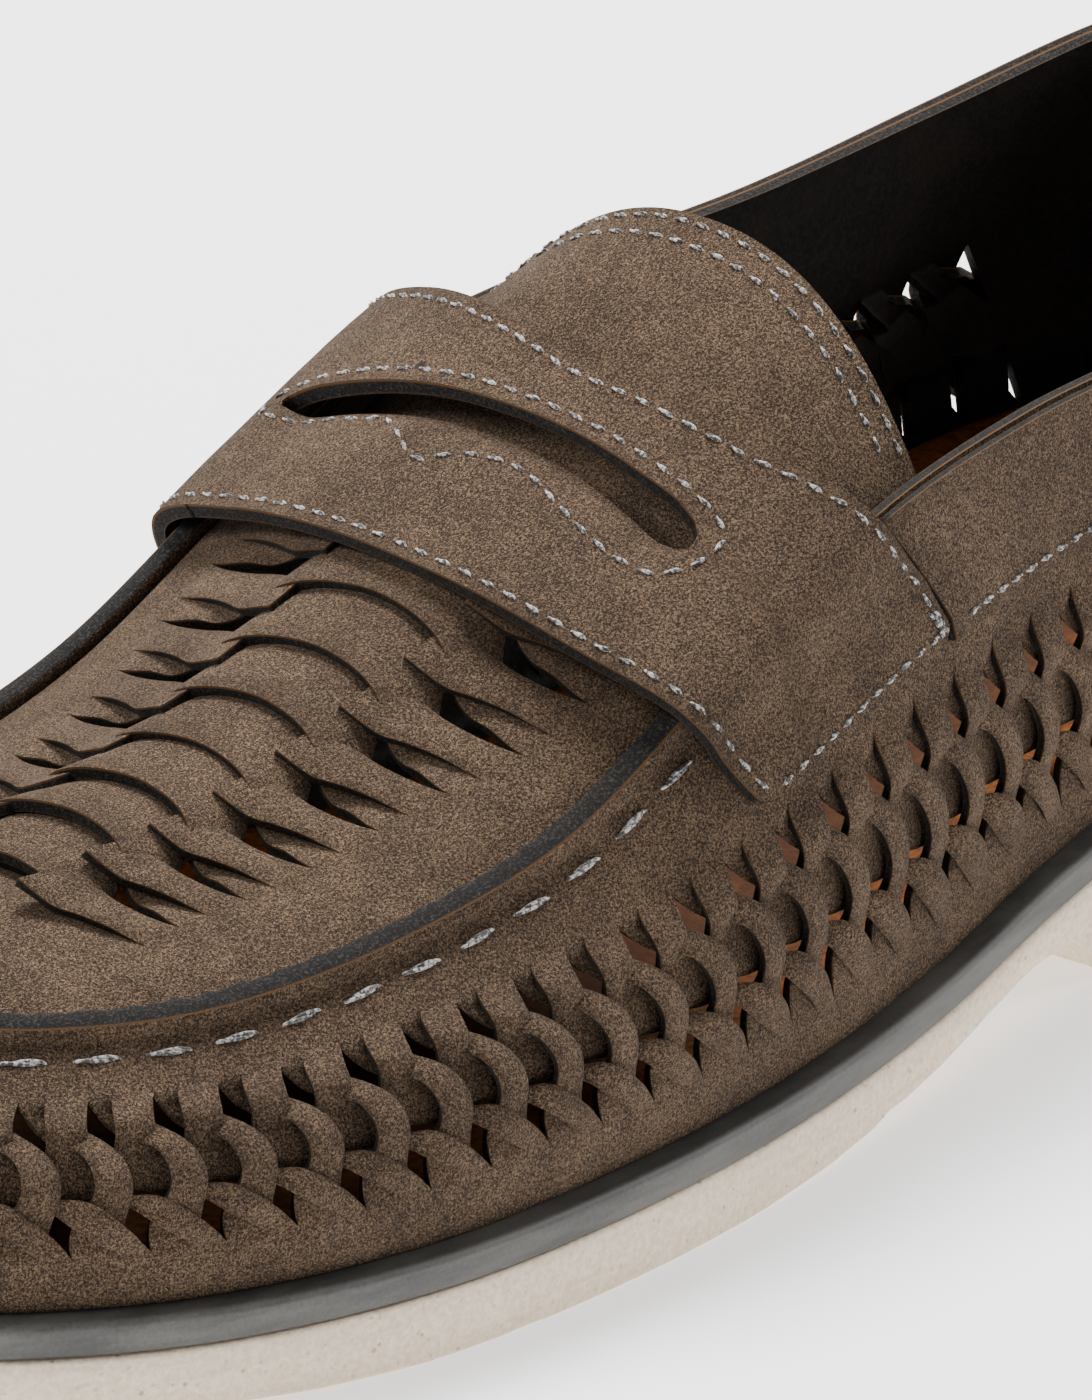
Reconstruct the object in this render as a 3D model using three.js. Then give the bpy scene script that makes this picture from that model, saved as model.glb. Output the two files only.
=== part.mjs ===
// Woven penny loafer for the left foot, empty and standing on its sole.
// Millimetres. +X runs from the toe to the heel, -Y is the outer side, +Z is up, and the floor is z = 0.
import * as THREE from "three";

// Driving sizes
const LENGTH = 300; // outsole, toe to heel
const BALL_WIDTH = 103; // outsole across the ball
const FORE_SOLE = 12.8; // floor to the upper's lower edge under the ball
const HEEL_SEAT = 25.5; // floor to the upper's lower edge at the heel
const INSTEP_RISE = 75; // upper's lower edge to the instep line, the strap's rear edge
const LEATHER = 1.2; // wall behind the lowest strips
const MARGIN_RAISE = 0.6; // uncut leather above that wall
const STRIP_RAISE = 1.8; // front edge of a strip of the side weave
const WEAVE_PITCH = 10.2; // side weave, one strip to the next
const SEAM_WIDTH = 3.2; // raised moccasin seam
const SEAM_RISE = 2.4;
const PLAIT_RISE = 2.4; // crown of the plait above the vamp
const PLAIT_STEP = 1.5; // front edge of each strip of the plait
const LEDGE = 3.8; // midsole beyond the upper
const MIDSOLE = 4.2;
const INSOLE = 2.8;
const TONGUE = 2.2;
const STRAP = 2;
const STRAP_LIFT = 4.2; // strap above the vamp on the centre line
const SLOT_WIDTH = 4.8;
const SLOT_HALF = 0.53; // share of the strap's half length
const COLLAR_BAND = 1.3;
const TREAD_GROOVE = 1.2; // depth of the tread's grooves
const FIT = 0.3; // clearance between neighbours

// The last: one row for each section, toe to heel.
// back and crown.back are shares of LENGTH, widths and axis of BALL_WIDTH, lift of the heel's rise,
// crown.up and ridge of INSTEP_RISE, weave low and high of the wall's height.
const COLUMNS = ["back", "outer", "inner", "lift", "crownBack", "crownOuter", "crownInner", "crownUp", "ridge",
  "axis", "weaveLow", "weaveHigh"];
const LAST = [
  [0.013, 0.0, 0.0, 0.45, 0.09, 0.0, 0.0, 0.369, 0.383, 0.078, 0.22, 0.82],
  [0.022, 0.136, 0.136, 0.417, 0.095, 0.087, 0.087, 0.368, 0.389, 0.073, 0.22, 0.82],
  [0.047, 0.243, 0.248, 0.33, 0.11, 0.18, 0.178, 0.363, 0.4, 0.066, 0.22, 0.82],
  [0.093, 0.34, 0.335, 0.19, 0.143, 0.26, 0.251, 0.355, 0.424, 0.053, 0.22, 0.82],
  [0.167, 0.422, 0.398, 0.063, 0.2, 0.32, 0.303, 0.352, 0.453, 0.035, 0.22, 0.82],
  [0.26, 0.471, 0.437, 0.0, 0.28, 0.351, 0.331, 0.38, 0.48, 0.017, 0.21, 0.83],
  [0.36, 0.481, 0.447, 0.0, 0.367, 0.365, 0.34, 0.448, 0.581, 0.009, 0.18, 0.83],
  [0.46, 0.451, 0.398, 0.0, 0.46, 0.353, 0.344, 0.62, 0.748, -0.002, 0.16, 0.7],
  [0.56, 0.398, 0.33, 0.079, 0.55, 0.33, 0.346, 0.749, 0.975, -0.008, 0.17, 0.6],
  [0.66, 0.354, 0.296, 0.378, 0.65, 0.312, 0.32, 0.787, 1.145, 0.0, 0.17, 0.57],
  [0.76, 0.325, 0.301, 0.669, 0.753, 0.294, 0.309, 0.787, 1.24, 0.0, 0.17, 0.56],
  [0.86, 0.306, 0.301, 0.898, 0.853, 0.282, 0.284, 0.823, 1.3, 0.0, 0.17, 0.56],
  [0.937, 0.243, 0.243, 0.984, 0.93, 0.218, 0.218, 0.896, 1.35, 0.0, 0.18, 0.56],
  [0.973, 0.15, 0.15, 1.0, 0.963, 0.126, 0.126, 0.949, 1.38, 0.0, 0.18, 0.56],
  [0.988, 0.0, 0.0, 1.0, 0.973, 0.0, 0.0, 0.969, 1.39, 0.0, 0.18, 0.56],
];
const HEEL_ROW = LAST.length - 1;
const UP = new THREE.Vector3(0, 0, 1);

const clamp = THREE.MathUtils.clamp;
const lerp = THREE.MathUtils.lerp;
const mix = (a, b, t) => a.clone().lerp(b, t);
const along = (p, direction, length) => p.clone().addScaledVector(direction, length);

// A place round the shoe is a signed row number: positive on the outer side, negative on the inner side,
// 0 at the toe and HEEL_ROW at the heel. Each value follows a Catmull-Rom curve through the rows.
function rowValue(read, row) {
  const first = Math.floor(row);
  const t = row - first;
  const knot = (k) => {
    const turns = 2 * HEEL_ROW;
    const wrapped = ((k % turns) + turns) % turns;
    return wrapped <= HEEL_ROW ? read(LAST[wrapped], 1) : read(LAST[turns - wrapped], -1);
  };
  const [a, b, c, d] = [knot(first - 1), knot(first), knot(first + 1), knot(first + 2)];
  return 0.5 * (2 * b + (c - a) * t + (2 * a - 5 * b + 4 * c - d) * t * t + (3 * b - a - 3 * c + d) * t ** 3);
}
const value = (name, row) => rowValue((r) => r[COLUMNS.indexOf(name)], row);
const sideways = (outer, inner, row) =>
  rowValue((r, side) => (side > 0 ? -r[COLUMNS.indexOf(outer)] : r[COLUMNS.indexOf(inner)]), row);

// The feather line, where the upper meets the sole, and the crown line: moccasin seam, then topline.
function footPoint(row) {
  const y = sideways("outer", "inner", row) + value("axis", row);
  const z = FORE_SOLE + value("lift", row) * (HEEL_SEAT - FORE_SOLE);
  return new THREE.Vector3((value("back", row) - 0.5) * LENGTH, y * BALL_WIDTH, z);
}
function crownPoint(row) {
  const y = sideways("crownOuter", "crownInner", row) + value("axis", row);
  const z = FORE_SOLE + value("crownUp", row) * INSTEP_RISE;
  return new THREE.Vector3((value("crownBack", row) - 0.5) * LENGTH, y * BALL_WIDTH, z);
}
function outward(row) {
  const step = 0.01;
  const run = footPoint(row + step).sub(footPoint(row - step));
  return new THREE.Vector3(run.y, -run.x, 0).normalize();
}

// The side wall: a Bezier curve from the feather line (v = 0) to the crown line (v = 1).
function wallPoint(row, v) {
  const foot = footPoint(row);
  const crown = crownPoint(row);
  const out = outward(row);
  const height = crown.z - foot.z;
  const inset = Math.max(0, foot.clone().sub(crown).dot(out));
  const lean = clamp(inset / (0.145 * BALL_WIDTH), 0, 1);
  const low = along(along(foot, out, (0.024 + 0.02 * lean) * BALL_WIDTH), UP, 0.42 * height);
  const high = along(along(crown, out, 0.008 * BALL_WIDTH + 0.62 * inset), UP, -(0.33 - 0.1 * lean) * height);
  const w = 1 - v;
  const p = foot.clone().multiplyScalar(w ** 3);
  p.addScaledVector(low, 3 * w * w * v).addScaledVector(high, 3 * w * v * v);
  return p.addScaledVector(crown, v ** 3);
}
function wallNormal(row, v) {
  const step = 0.01;
  const rise = wallPoint(row, v + step).sub(wallPoint(row, v - step));
  const run = wallPoint(row + step, v).sub(wallPoint(row - step, v));
  return run.cross(rise).normalize();
}

// The vamp's arched top between the two crown lines: t = -1 outer, t = 1 inner.
const ARCH_POWER = 2.2;
function vampPoint(outerRow, innerRow, t) {
  const a = crownPoint(outerRow);
  const b = crownPoint(innerRow);
  const p = mix(a, b, (t + 1) / 2);
  const ridge = FORE_SOLE + value("ridge", (outerRow - innerRow) / 2) * INSTEP_RISE;
  p.z += (ridge - p.z) * (1 - Math.abs(t) ** ARCH_POWER);
  return p;
}
const vampHalf = (row) => (crownPoint(-row).y - crownPoint(row).y) / 2;

// Row whose crown line lies at a distance from the toe
function rowAt(back) {
  let low = 0;
  let high = HEEL_ROW;
  for (let i = 0; i < 30; i += 1) {
    const middle = (low + high) / 2;
    if (value("crownBack", middle) * LENGTH < back) low = middle;
    else high = middle;
  }
  return low;
}

// Distance round the shoe at half height, from the toe, to a signed row
const RING_STEPS = 360;
const RING = [];
for (let i = 0, length = 0; i <= 2 * RING_STEPS; i += 1) {
  const row = (i / RING_STEPS - 1) * HEEL_ROW;
  const point = wallPoint(row, 0.5).setZ(0);
  if (i) length += point.distanceTo(RING[i - 1].point);
  RING.push({ row, point, length });
}
const TOE_LENGTH = RING[RING_STEPS].length;
const ROUND = RING[2 * RING_STEPS].length;
function rowRound(distance) {
  const turns = Math.floor((distance + TOE_LENGTH) / ROUND);
  const length = distance + TOE_LENGTH - turns * ROUND;
  let i = RING.findIndex((r) => r.length >= length);
  i = Math.max(1, i);
  const t = (length - RING[i - 1].length) / (RING[i].length - RING[i - 1].length);
  return lerp(RING[i - 1].row, RING[i].row, t);
}

// A sheet of leather or rubber: outer and inner points in pairs, faces on the outer points.
// The inner side is the same faces turned over, and each edge used once gets a narrow side face.
class Sheet {
  constructor() {
    this.outer = [];
    this.inner = [];
    this.faces = [];
  }
  pair(outer, inner) {
    this.outer.push(outer);
    this.inner.push(inner);
    return this.outer.length - 1;
  }
  face(...corners) {
    const loop = corners.filter((c, i) => c !== corners[(i + 1) % corners.length]);
    for (let i = 2; i < loop.length; i += 1) this.faces.push([loop[0], loop[i - 1], loop[i]]);
  }
  grid(rows) {
    for (let i = 1; i < rows.length; i += 1) {
      for (let j = 1; j < rows[i].length; j += 1) {
        this.face(rows[i - 1][j - 1], rows[i][j - 1], rows[i][j], rows[i - 1][j]);
      }
    }
  }
  // The inner points, set back from the outer ones along the sheet's own normals
  setBack(base, depth) {
    const normals = base.map(() => new THREE.Vector3());
    for (const [a, b, c] of this.faces) {
      const n = base[b].clone().sub(base[a]).cross(base[c].clone().sub(base[a]));
      for (const k of [a, b, c]) normals[k].add(n);
    }
    this.inner = base.map((p, k) => along(p, normals[k].normalize(), -depth));
  }
  geometry() {
    const count = this.outer.length;
    const triangles = [];
    const used = new Set();
    for (const [a, b, c] of this.faces) {
      triangles.push(a, b, c, count + a, count + c, count + b);
      for (const [from, to] of [[a, b], [b, c], [c, a]]) used.add(`${from} ${to}`);
    }
    for (const edge of used) {
      const [a, b] = edge.split(" ").map(Number);
      if (!used.has(`${b} ${a}`)) triangles.push(b, a, count + a, b, count + a, count + b);
    }
    const places = [...this.outer, ...this.inner].flatMap((p) => p.clone().sub(MIDDLE).toArray());
    const geometry = new THREE.BufferGeometry();
    geometry.setAttribute("position", new THREE.Float32BufferAttribute(places, 3));
    geometry.setIndex(triangles);
    geometry.computeVertexNormals();
    return geometry;
  }
}

// The middle of the outsole's outline, which becomes the origin
const OUTLINE = new THREE.Box3().setFromPoints(RING.map(({ row }) => along(footPoint(row), outward(row), LEDGE)));
const MIDDLE = OUTLINE.getCenter(new THREE.Vector3()).setZ(0);

// Upper: columns round the shoe, three to a strip of the weave, with the strips' front edges raised
const PITCHES = Math.round(ROUND / WEAVE_PITCH);
const PITCH = ROUND / PITCHES;
const STRIP_STEPS = [0, 0.14, 0.55]; // shares of a pitch: in the gap, the raised front edge, the strip's back
const STRIP_LEVELS = [0, STRIP_RAISE, 1.2];
const WEAVE_END = 0.8 * LENGTH; // the weave stops here and the heel is plain
const THROAT = 0.452 * LENGTH; // the vamp's rear edge, under the strap
const FRONT_COLUMNS = 6; // columns each side of the toe that close the vamp's front
const PLAIT_FRONT = 0.19 * LENGTH;
const SEAM_START = 0.93;
// Lines up the weave, bottom to top, and how far each strip has moved towards its neighbour there
const WEAVE_LINES = [
  { up: 0, shift: 1.3 },
  { up: 0.2, shift: 1.3 },
  { up: 0.42, shift: 1.25 },
  { up: 0.62, shift: 0.95 },
  { up: 0.8, shift: 0.35 },
  { up: 1, shift: 0 },
];
const GAP_LINE = 1; // the gap lies between this line and the next
const VAMP_LINES = [-1, -0.7, -0.55, -0.4, -0.27, -0.14, 0, 0.14, 0.27, 0.4, 0.55, 0.7, 1];
const PLAIT_EDGE = 0.4;
const PLAIT_GAP = 0.55;

// Column k: its distance round the shoe, and its step in the pitch. The plain heel has one step to a pitch.
function ringColumns() {
  const columns = [];
  const half = Math.floor(PITCHES / 2);
  for (let pitch = -half; pitch < PITCHES - half; pitch += 1) {
    const row = Math.abs(rowRound(pitch * PITCH));
    const woven = value("crownBack", row) * LENGTH < WEAVE_END;
    STRIP_STEPS.forEach((step, i) => {
      if (woven || i === 0) columns.push({ distance: (pitch + step) * PITCH, step: i, woven });
    });
  }
  return columns;
}

// The vamp's rows: the columns the same number of steps from the toe on each side, as far as the throat
function vampRows(columns) {
  const toe = columns.findIndex((c) => c.distance === 0);
  const outerRow = (k) => rowRound(columns[toe + k].distance);
  const innerRow = (k) => rowRound(columns[toe - k].distance);
  const reach = (k) => Math.max(value("crownBack", outerRow(k)), value("crownBack", innerRow(k))) * LENGTH;
  let throat = FRONT_COLUMNS;
  while (reach(throat + 1) < THROAT) throat += 1;
  return { outerRow, innerRow, throat };
}

function wallLines(row) {
  const low = value("weaveLow", Math.abs(row));
  const high = value("weaveHigh", Math.abs(row));
  const lines = [{ v: 0, shift: WEAVE_LINES[0].shift, weave: false }];
  WEAVE_LINES.forEach(({ up, shift }) => {
    lines.push({ v: lerp(low, high, up), shift, weave: up > 0 && up < 1 });
  });
  lines.push({ v: lerp(high, SEAM_START, high < 0.75 ? 0.6 : 1), shift: 0, weave: false });
  lines.push({ v: 1, shift: 0, weave: false });
  return lines;
}

function buildUpper() {
  const sheet = new Sheet();
  const base = [];
  const place = (point, raise, normal) => {
    base.push(point);
    return sheet.pair(along(point, normal, raise), point);
  };
  const columns = ringColumns();
  const toe = columns.findIndex((c) => c.distance === 0);

  // The wall
  const wall = columns.map((column) =>
    wallLines(rowRound(column.distance)).map(({ v, shift, weave }) => {
      const row = rowRound(column.distance + shift * PITCH);
      const raise = weave && column.woven ? STRIP_LEVELS[column.step] : MARGIN_RAISE;
      return place(wallPoint(row, v), raise, wallNormal(row, clamp(v, 0.02, 0.98)));
    }),
  );
  columns.forEach((column, i) => {
    const next = (i + 1) % columns.length;
    const lastStep = column.step === STRIP_STEPS.length - 1;
    for (let j = 1; j < wall[i].length; j += 1) {
      const gap = column.woven && lastStep && j - 2 === GAP_LINE;
      if (!gap) sheet.face(wall[i][j - 1], wall[next][j - 1], wall[next][j], wall[i][j]);
    }
  });

  // The seam: the vamp's and the wall's edges stand up together along the crown line
  const { outerRow, innerRow, throat } = vampRows(columns);
  const seamShare = (k) => 1 - SEAM_WIDTH / vampHalf((outerRow(k) - innerRow(k)) / 2);
  const seamPoint = (k, share) => {
    const n = Math.abs(k);
    const row = rowRound(columns[toe + k].distance);
    if (n >= FRONT_COLUMNS) {
      const t = lerp(1, seamShare(n), share) * -Math.sign(k);
      return vampPoint(outerRow(n), innerRow(n), t);
    }
    const ridge = FORE_SOLE + value("ridge", n ? Math.abs(row) : 0) * INSTEP_RISE;
    const p = along(crownPoint(row), outward(row), -SEAM_WIDTH * share);
    return p.setZ(lerp(p.z, ridge, 0.3 * share));
  };
  const seam = [];
  for (let k = -throat; k <= throat; k += 1) {
    const crown = wall[toe + k].at(-1);
    const out = outward(rowRound(columns[toe + k].distance));
    sheet.outer[crown] = along(along(base[crown], UP, SEAM_RISE), out, 0.8);
    const top = place(seamPoint(k, 0.6), SEAM_RISE, UP);
    const foot = place(seamPoint(k, 1), MARGIN_RAISE, UP);
    seam.push([crown, top, foot]);
  }
  sheet.grid(seam);

  // The vamp's top, with its plait down the middle
  const rows = [];
  for (let k = FRONT_COLUMNS; k <= throat; k += 1) {
    const [outer, inner] = [outerRow(k), innerRow(k)];
    const back = value("crownBack", (outer - inner) / 2) * LENGTH;
    const plaited = back > PLAIT_FRONT;
    const step = k % STRIP_STEPS.length;
    rows.push({
      plaited,
      step,
      ids: VAMP_LINES.map((line) => {
        if (line === -1) return seam[throat + k][2];
        if (line === 1) return seam[throat - k][2];
        const inPlait = plaited && Math.abs(line) < PLAIT_EDGE;
        const arch = PLAIT_RISE * (1 - (line / PLAIT_EDGE) ** 2);
        const raise = inPlait ? arch + [0, PLAIT_STEP, 0.8][step] : MARGIN_RAISE;
        return place(vampPoint(outer, inner, line * seamShare(k)), raise, UP);
      }),
    });
  }
  rows.slice(1).forEach((row, i) => {
    const front = rows[i];
    VAMP_LINES.slice(1).forEach((line, j) => {
      const edges = [Math.abs(VAMP_LINES[j]), Math.abs(line)].sort();
      const gap = row.plaited && front.plaited && row.step === 0 && edges[0] === PLAIT_EDGE && edges[1] === PLAIT_GAP;
      if (!gap) sheet.face(front.ids[j], row.ids[j], row.ids[j + 1], front.ids[j + 1]);
    });
  });
  // Its front: the seam's curve round the toe meets the first row line by line
  for (let j = 0; j < 2 * FRONT_COLUMNS; j += 1) {
    const arc = (n) => seam[throat + FRONT_COLUMNS - n][2];
    sheet.face(arc(j), rows[0].ids[j], rows[0].ids[j + 1], arc(j + 1));
  }
  sheet.setBack(base, LEATHER);
  return sheet;
}

// A plate inside or round the feather line, from row to row across the shoe
const PLATE_ROWS = [0, 0.35, 0.7, 1, 1.5, 2, 2.5, 3, 3.5, 4, 4.5, 5, 5.5, 6, 6.5, 7, 7.5, 8, 8.5, 9, 9.5, 10, 10.5,
  11, 11.5, 12, 12.5, 13, 13.3, 13.65, 14];
function plate(rows, spread, across, heights) {
  const sheet = new Sheet();
  const lines = rows.map((row) => {
    const outer = along(footPoint(row), outward(row), spread);
    const inner = along(footPoint(-row), outward(-row), spread);
    const [top, bottom] = heights(row);
    const tip = row === 0 || row === HEEL_ROW;
    const ids = across.map((t, i) => {
      if (tip && i) return null;
      const p = mix(outer, inner, (t + 1) / 2);
      return sheet.pair(p.clone().setZ(top), p.clone().setZ(bottom));
    });
    return ids.map((id) => (id === null ? ids[0] : id));
  });
  sheet.grid(lines);
  return sheet;
}
const featherHeight = (row) => footPoint(row).z;

function buildMidsole() {
  return plate(PLATE_ROWS, LEDGE, [-1, 0, 1], (row) => {
    const top = featherHeight(row) - FIT;
    return [top, top - MIDSOLE];
  });
}

function buildInsole() {
  const inset = LEATHER + FIT + 1.2;
  return plate(PLATE_ROWS, -inset, [-1, 0, 1], (row) => [featherHeight(row) + INSOLE, featherHeight(row)]);
}

// Outsole: toe spring, a flat under the ball, an arch, the heel's breast and a flat heel, with cross grooves
const TREAD = [
  { back: 0, up: 1 },
  { back: 0.1, up: 0.42 },
  { back: 0.2, up: 0.08 },
  { back: 0.25, up: 0 },
  { back: 0.43, up: 0 },
  { back: 0.5, up: 0.12 },
  { back: 0.56, up: 0.45 },
  { back: 0.63, up: 1 },
  { back: 0.67, up: 1 },
  { back: 0.69, up: 0 },
  { back: 0.95, up: 0 },
  { back: 1, up: 0.2 },
];
const TREAD_RISE = 7.5; // toe spring, and the arch's height above the floor
const GROOVE_SPACING = 12;
const GROOVE_WIDTH = 2;
const FORE_TREAD = [0.27, 0.42];
const HEEL_TREAD = [0.72, 0.93];
function treadHeight(back) {
  const share = clamp(back / LENGTH, 0, 1);
  const i = Math.max(1, TREAD.findIndex((p) => p.back >= share));
  const t = (share - TREAD[i - 1].back) / (TREAD[i].back - TREAD[i - 1].back);
  return TREAD_RISE * lerp(TREAD[i - 1].up, TREAD[i].up, t);
}
// Row whose feather line lies at a distance from the toe
function footRowAt(back) {
  let low = 0;
  let high = HEEL_ROW;
  for (let i = 0; i < 30; i += 1) {
    const middle = (low + high) / 2;
    if (value("back", middle) * LENGTH < back) low = middle;
    else high = middle;
  }
  return low;
}
function buildOutsole() {
  const grooves = new Map();
  for (const [start, end] of [FORE_TREAD, HEEL_TREAD]) {
    for (let back = start * LENGTH; back < end * LENGTH; back += GROOVE_SPACING) {
      [0, 0.3, 0.7, 1].forEach((share, i) => {
        grooves.set(footRowAt(back + share * GROOVE_WIDTH), i === 1 || i === 2 ? TREAD_GROOVE : 0);
      });
    }
  }
  const breasts = TREAD.map((p) => footRowAt(clamp(p.back * LENGTH, 8, LENGTH - 8)));
  const plain = [...PLATE_ROWS, ...breasts].filter((row) => {
    const near = [...grooves.keys()].some((g) => Math.abs(g - row) < 0.06);
    return !near;
  });
  const rows = [...new Set([...plain, ...grooves.keys()])].sort((a, b) => a - b);
  const spaced = rows.filter((row, i) => i === 0 || grooves.has(row) || row - rows[i - 1] > 0.03);
  return plate(spaced, LEDGE, [-1, 0, 1], (row) => {
    const top = featherHeight(row) - FIT - MIDSOLE - FIT;
    const bottom = treadHeight(value("back", row) * LENGTH) + (grooves.get(row) || 0);
    return [top, bottom];
  });
}

// Tongue: starts at the vamp's rear edge and passes inside the collar
const TONGUE_TIP = 0.605 * LENGTH;
const TONGUE_SIDE = 0.572 * LENGTH;
const TONGUE_TUCK = 3.5; // how far its sides lie below the topline
const TONGUE_INSET = 2.6; // its sides, inside the collar's lining
function buildTongue() {
  const sheet = new Sheet();
  const { outerRow, innerRow, throat } = vampRows(ringColumns());
  const start = (row) => value("crownBack", Math.abs(row)) * LENGTH + 2 * FIT;
  const steps = 7;
  const lines = [];
  for (let i = 0; i <= steps; i += 1) {
    const line = [];
    for (let t = -1; t <= 1.001; t += 0.2) {
      const end = lerp(TONGUE_TIP, TONGUE_SIDE, Math.abs(t) ** 2.4);
      const outer = rowAt(lerp(start(outerRow(throat)), end, i / steps));
      const inner = rowAt(lerp(start(innerRow(throat)), end, i / steps));
      const share = 1 - (LEATHER + TONGUE_INSET) / vampHalf((outer + inner) / 2);
      const p = vampPoint(outer, -inner, t * share);
      p.z -= TONGUE_TUCK * Math.abs(t) ** 4;
      line.push(sheet.pair(p, p));
    }
    lines.push(line);
  }
  sheet.grid(lines);
  sheet.setBack(sheet.outer, TONGUE);
  return sheet;
}

// Strap: a saddle across the instep, its ends on the walls, cut by a slot on top
const STRAP_EDGES = {
  front: { middle: 0.409, crown: 0.427, end: 0.452 },
  rear: { middle: 0.514, crown: 0.556, end: 0.58 },
};
const STRAP_CROWN = 0.66; // share of the half length from the ridge to the crown line
const STRAP_LOW = 0.7; // height of its ends on the wall
const SLOT_FRONT = 0.468;
function edgeBack(edge, s) {
  const { middle, crown, end } = STRAP_EDGES[edge];
  const w = Math.abs(s);
  const share = w < STRAP_CROWN ? (w / STRAP_CROWN) ** 2 : (w - STRAP_CROWN) / (1 - STRAP_CROWN);
  return (w < STRAP_CROWN ? lerp(middle, crown, share) : lerp(crown, end, share)) * LENGTH;
}
// The strap's under side across the shoe at one distance from the toe for each s
function strapPoint(back, s) {
  const row = rowAt(back);
  const side = s < 0 ? 1 : -1;
  const signed = side * row;
  const wallOffset = MARGIN_RAISE + FIT;
  const out = outward(signed);
  const crown = along(along(crownPoint(signed), UP, SEAM_RISE + 0.6), out, 2);
  const onWall = (v) => along(wallPoint(signed, v), wallNormal(signed, v), wallOffset + 1.5 * (v - STRAP_LOW));
  const knots = [
    vampPoint(row, -row, 0).addScaledVector(UP, STRAP_LIFT),
    vampPoint(row, -row, -side * 0.35).addScaledVector(UP, STRAP_LIFT),
    vampPoint(row, -row, -side * 0.72).addScaledVector(UP, STRAP_LIFT),
    crown,
    onWall(0.86),
    onWall(STRAP_LOW),
  ];
  const mirrored = vampPoint(row, -row, side * 0.35).addScaledVector(UP, STRAP_LIFT);
  const curve = new THREE.CatmullRomCurve3([mirrored, ...knots], false, "centripetal");
  const start = 1 / knots.length;
  return curve.getPoint(start + (1 - start) * Math.abs(s));
}
function buildStrap() {
  const sheet = new Sheet();
  const half = [0, 0.14, 0.28, 0.42, SLOT_HALF, 0.6, STRAP_CROWN, 0.74, 0.82, 0.9, 1];
  const across = [...half.slice(1).map((s) => -s).reverse(), ...half];
  const lines = across.map((s) => {
    const [front, rear] = [edgeBack("front", s), edgeBack("rear", s)];
    const slot = clamp(SLOT_FRONT * LENGTH, front + 4, rear - 8);
    const stops = [front, (front + slot) / 2, slot, slot + SLOT_WIDTH, (slot + SLOT_WIDTH + rear) / 2, rear];
    const round = Math.abs(s) > 0.99 ? 2 : 0; // the corners are rounded
    stops[0] += round;
    stops[stops.length - 1] -= round;
    return stops.map((back) => {
      const p = strapPoint(back, s);
      return sheet.pair(p, p);
    });
  });
  for (let i = 1; i < lines.length; i += 1) {
    const inSlot = Math.abs(across[i - 1]) <= SLOT_HALF && Math.abs(across[i]) <= SLOT_HALF;
    for (let j = 1; j < lines[i].length; j += 1) {
      if (!(inSlot && j === 3)) sheet.face(lines[i - 1][j - 1], lines[i - 1][j], lines[i][j], lines[i][j - 1]);
    }
  }
  sheet.setBack(sheet.outer, -STRAP);
  [sheet.outer, sheet.inner] = [sheet.inner, sheet.outer];
  return sheet;
}

// Collar band: a strip of leather round the topline behind the strap
const BAND_LOW = 0.65;
function buildCollarBand() {
  const sheet = new Sheet();
  const stepsRound = 46;
  const heights = [BAND_LOW, 0.77, 0.89, 1];
  const lines = [];
  for (let i = 0; i <= stepsRound; i += 1) {
    const end = Math.abs((2 * i) / stepsRound - 1); // 1 at the strap, 0 at the heel
    const side = i < stepsRound / 2 ? 1 : -1;
    lines.push(
      heights.map((v) => {
        const strapShare = clamp((1 - v) / (1 - STRAP_LOW), 0, 1);
        const strapBack = lerp(STRAP_EDGES.rear.crown, STRAP_EDGES.rear.end, strapShare) * LENGTH + 2.5;
        const row = lerp(HEEL_ROW, rowAt(strapBack), end) * side;
        const p = along(wallPoint(row, v), wallNormal(row, Math.min(v, 0.98)), MARGIN_RAISE + FIT);
        return sheet.pair(p, p);
      }),
    );
  }
  sheet.grid(lines);
  sheet.setBack(sheet.outer, -COLLAR_BAND);
  [sheet.outer, sheet.inner] = [sheet.inner, sheet.outer];
  return sheet;
}

// The pieces
const suede = new THREE.MeshStandardMaterial({ color: 0x75685a, roughness: 0.95, metalness: 0 });
const darkRubber = new THREE.MeshStandardMaterial({ color: 0x3d3d3d, roughness: 0.6, metalness: 0 });
const creamRubber = new THREE.MeshStandardMaterial({ color: 0xd9d0c3, roughness: 0.85, metalness: 0 });
const tanLeather = new THREE.MeshStandardMaterial({ color: 0xb5783c, roughness: 0.8, metalness: 0 });

const loafer = new THREE.Group();
loafer.name = "loafer";
function add(name, sheet, material) {
  const mesh = new THREE.Mesh(sheet.geometry(), material);
  mesh.name = name;
  loafer.add(mesh);
}
add("upper", buildUpper(), suede);
add("midsole", buildMidsole(), darkRubber);
add("outsole", buildOutsole(), creamRubber);
add("insole", buildInsole(), tanLeather);
add("tongue", buildTongue(), suede);
add("strap", buildStrap(), suede);
add("collar_band", buildCollarBand(), suede);

export default loafer;
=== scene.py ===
# Woven penny loafer for the left foot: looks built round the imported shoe.
# +X runs from the toe to the heel, -Y is the outer side and +Z is up. The floor is z = 0.
# Sizes are in millimetres until a mesh is made, when they become metres.
import math

import bpy
import numpy as np
from mathutils import Matrix, Vector


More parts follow.
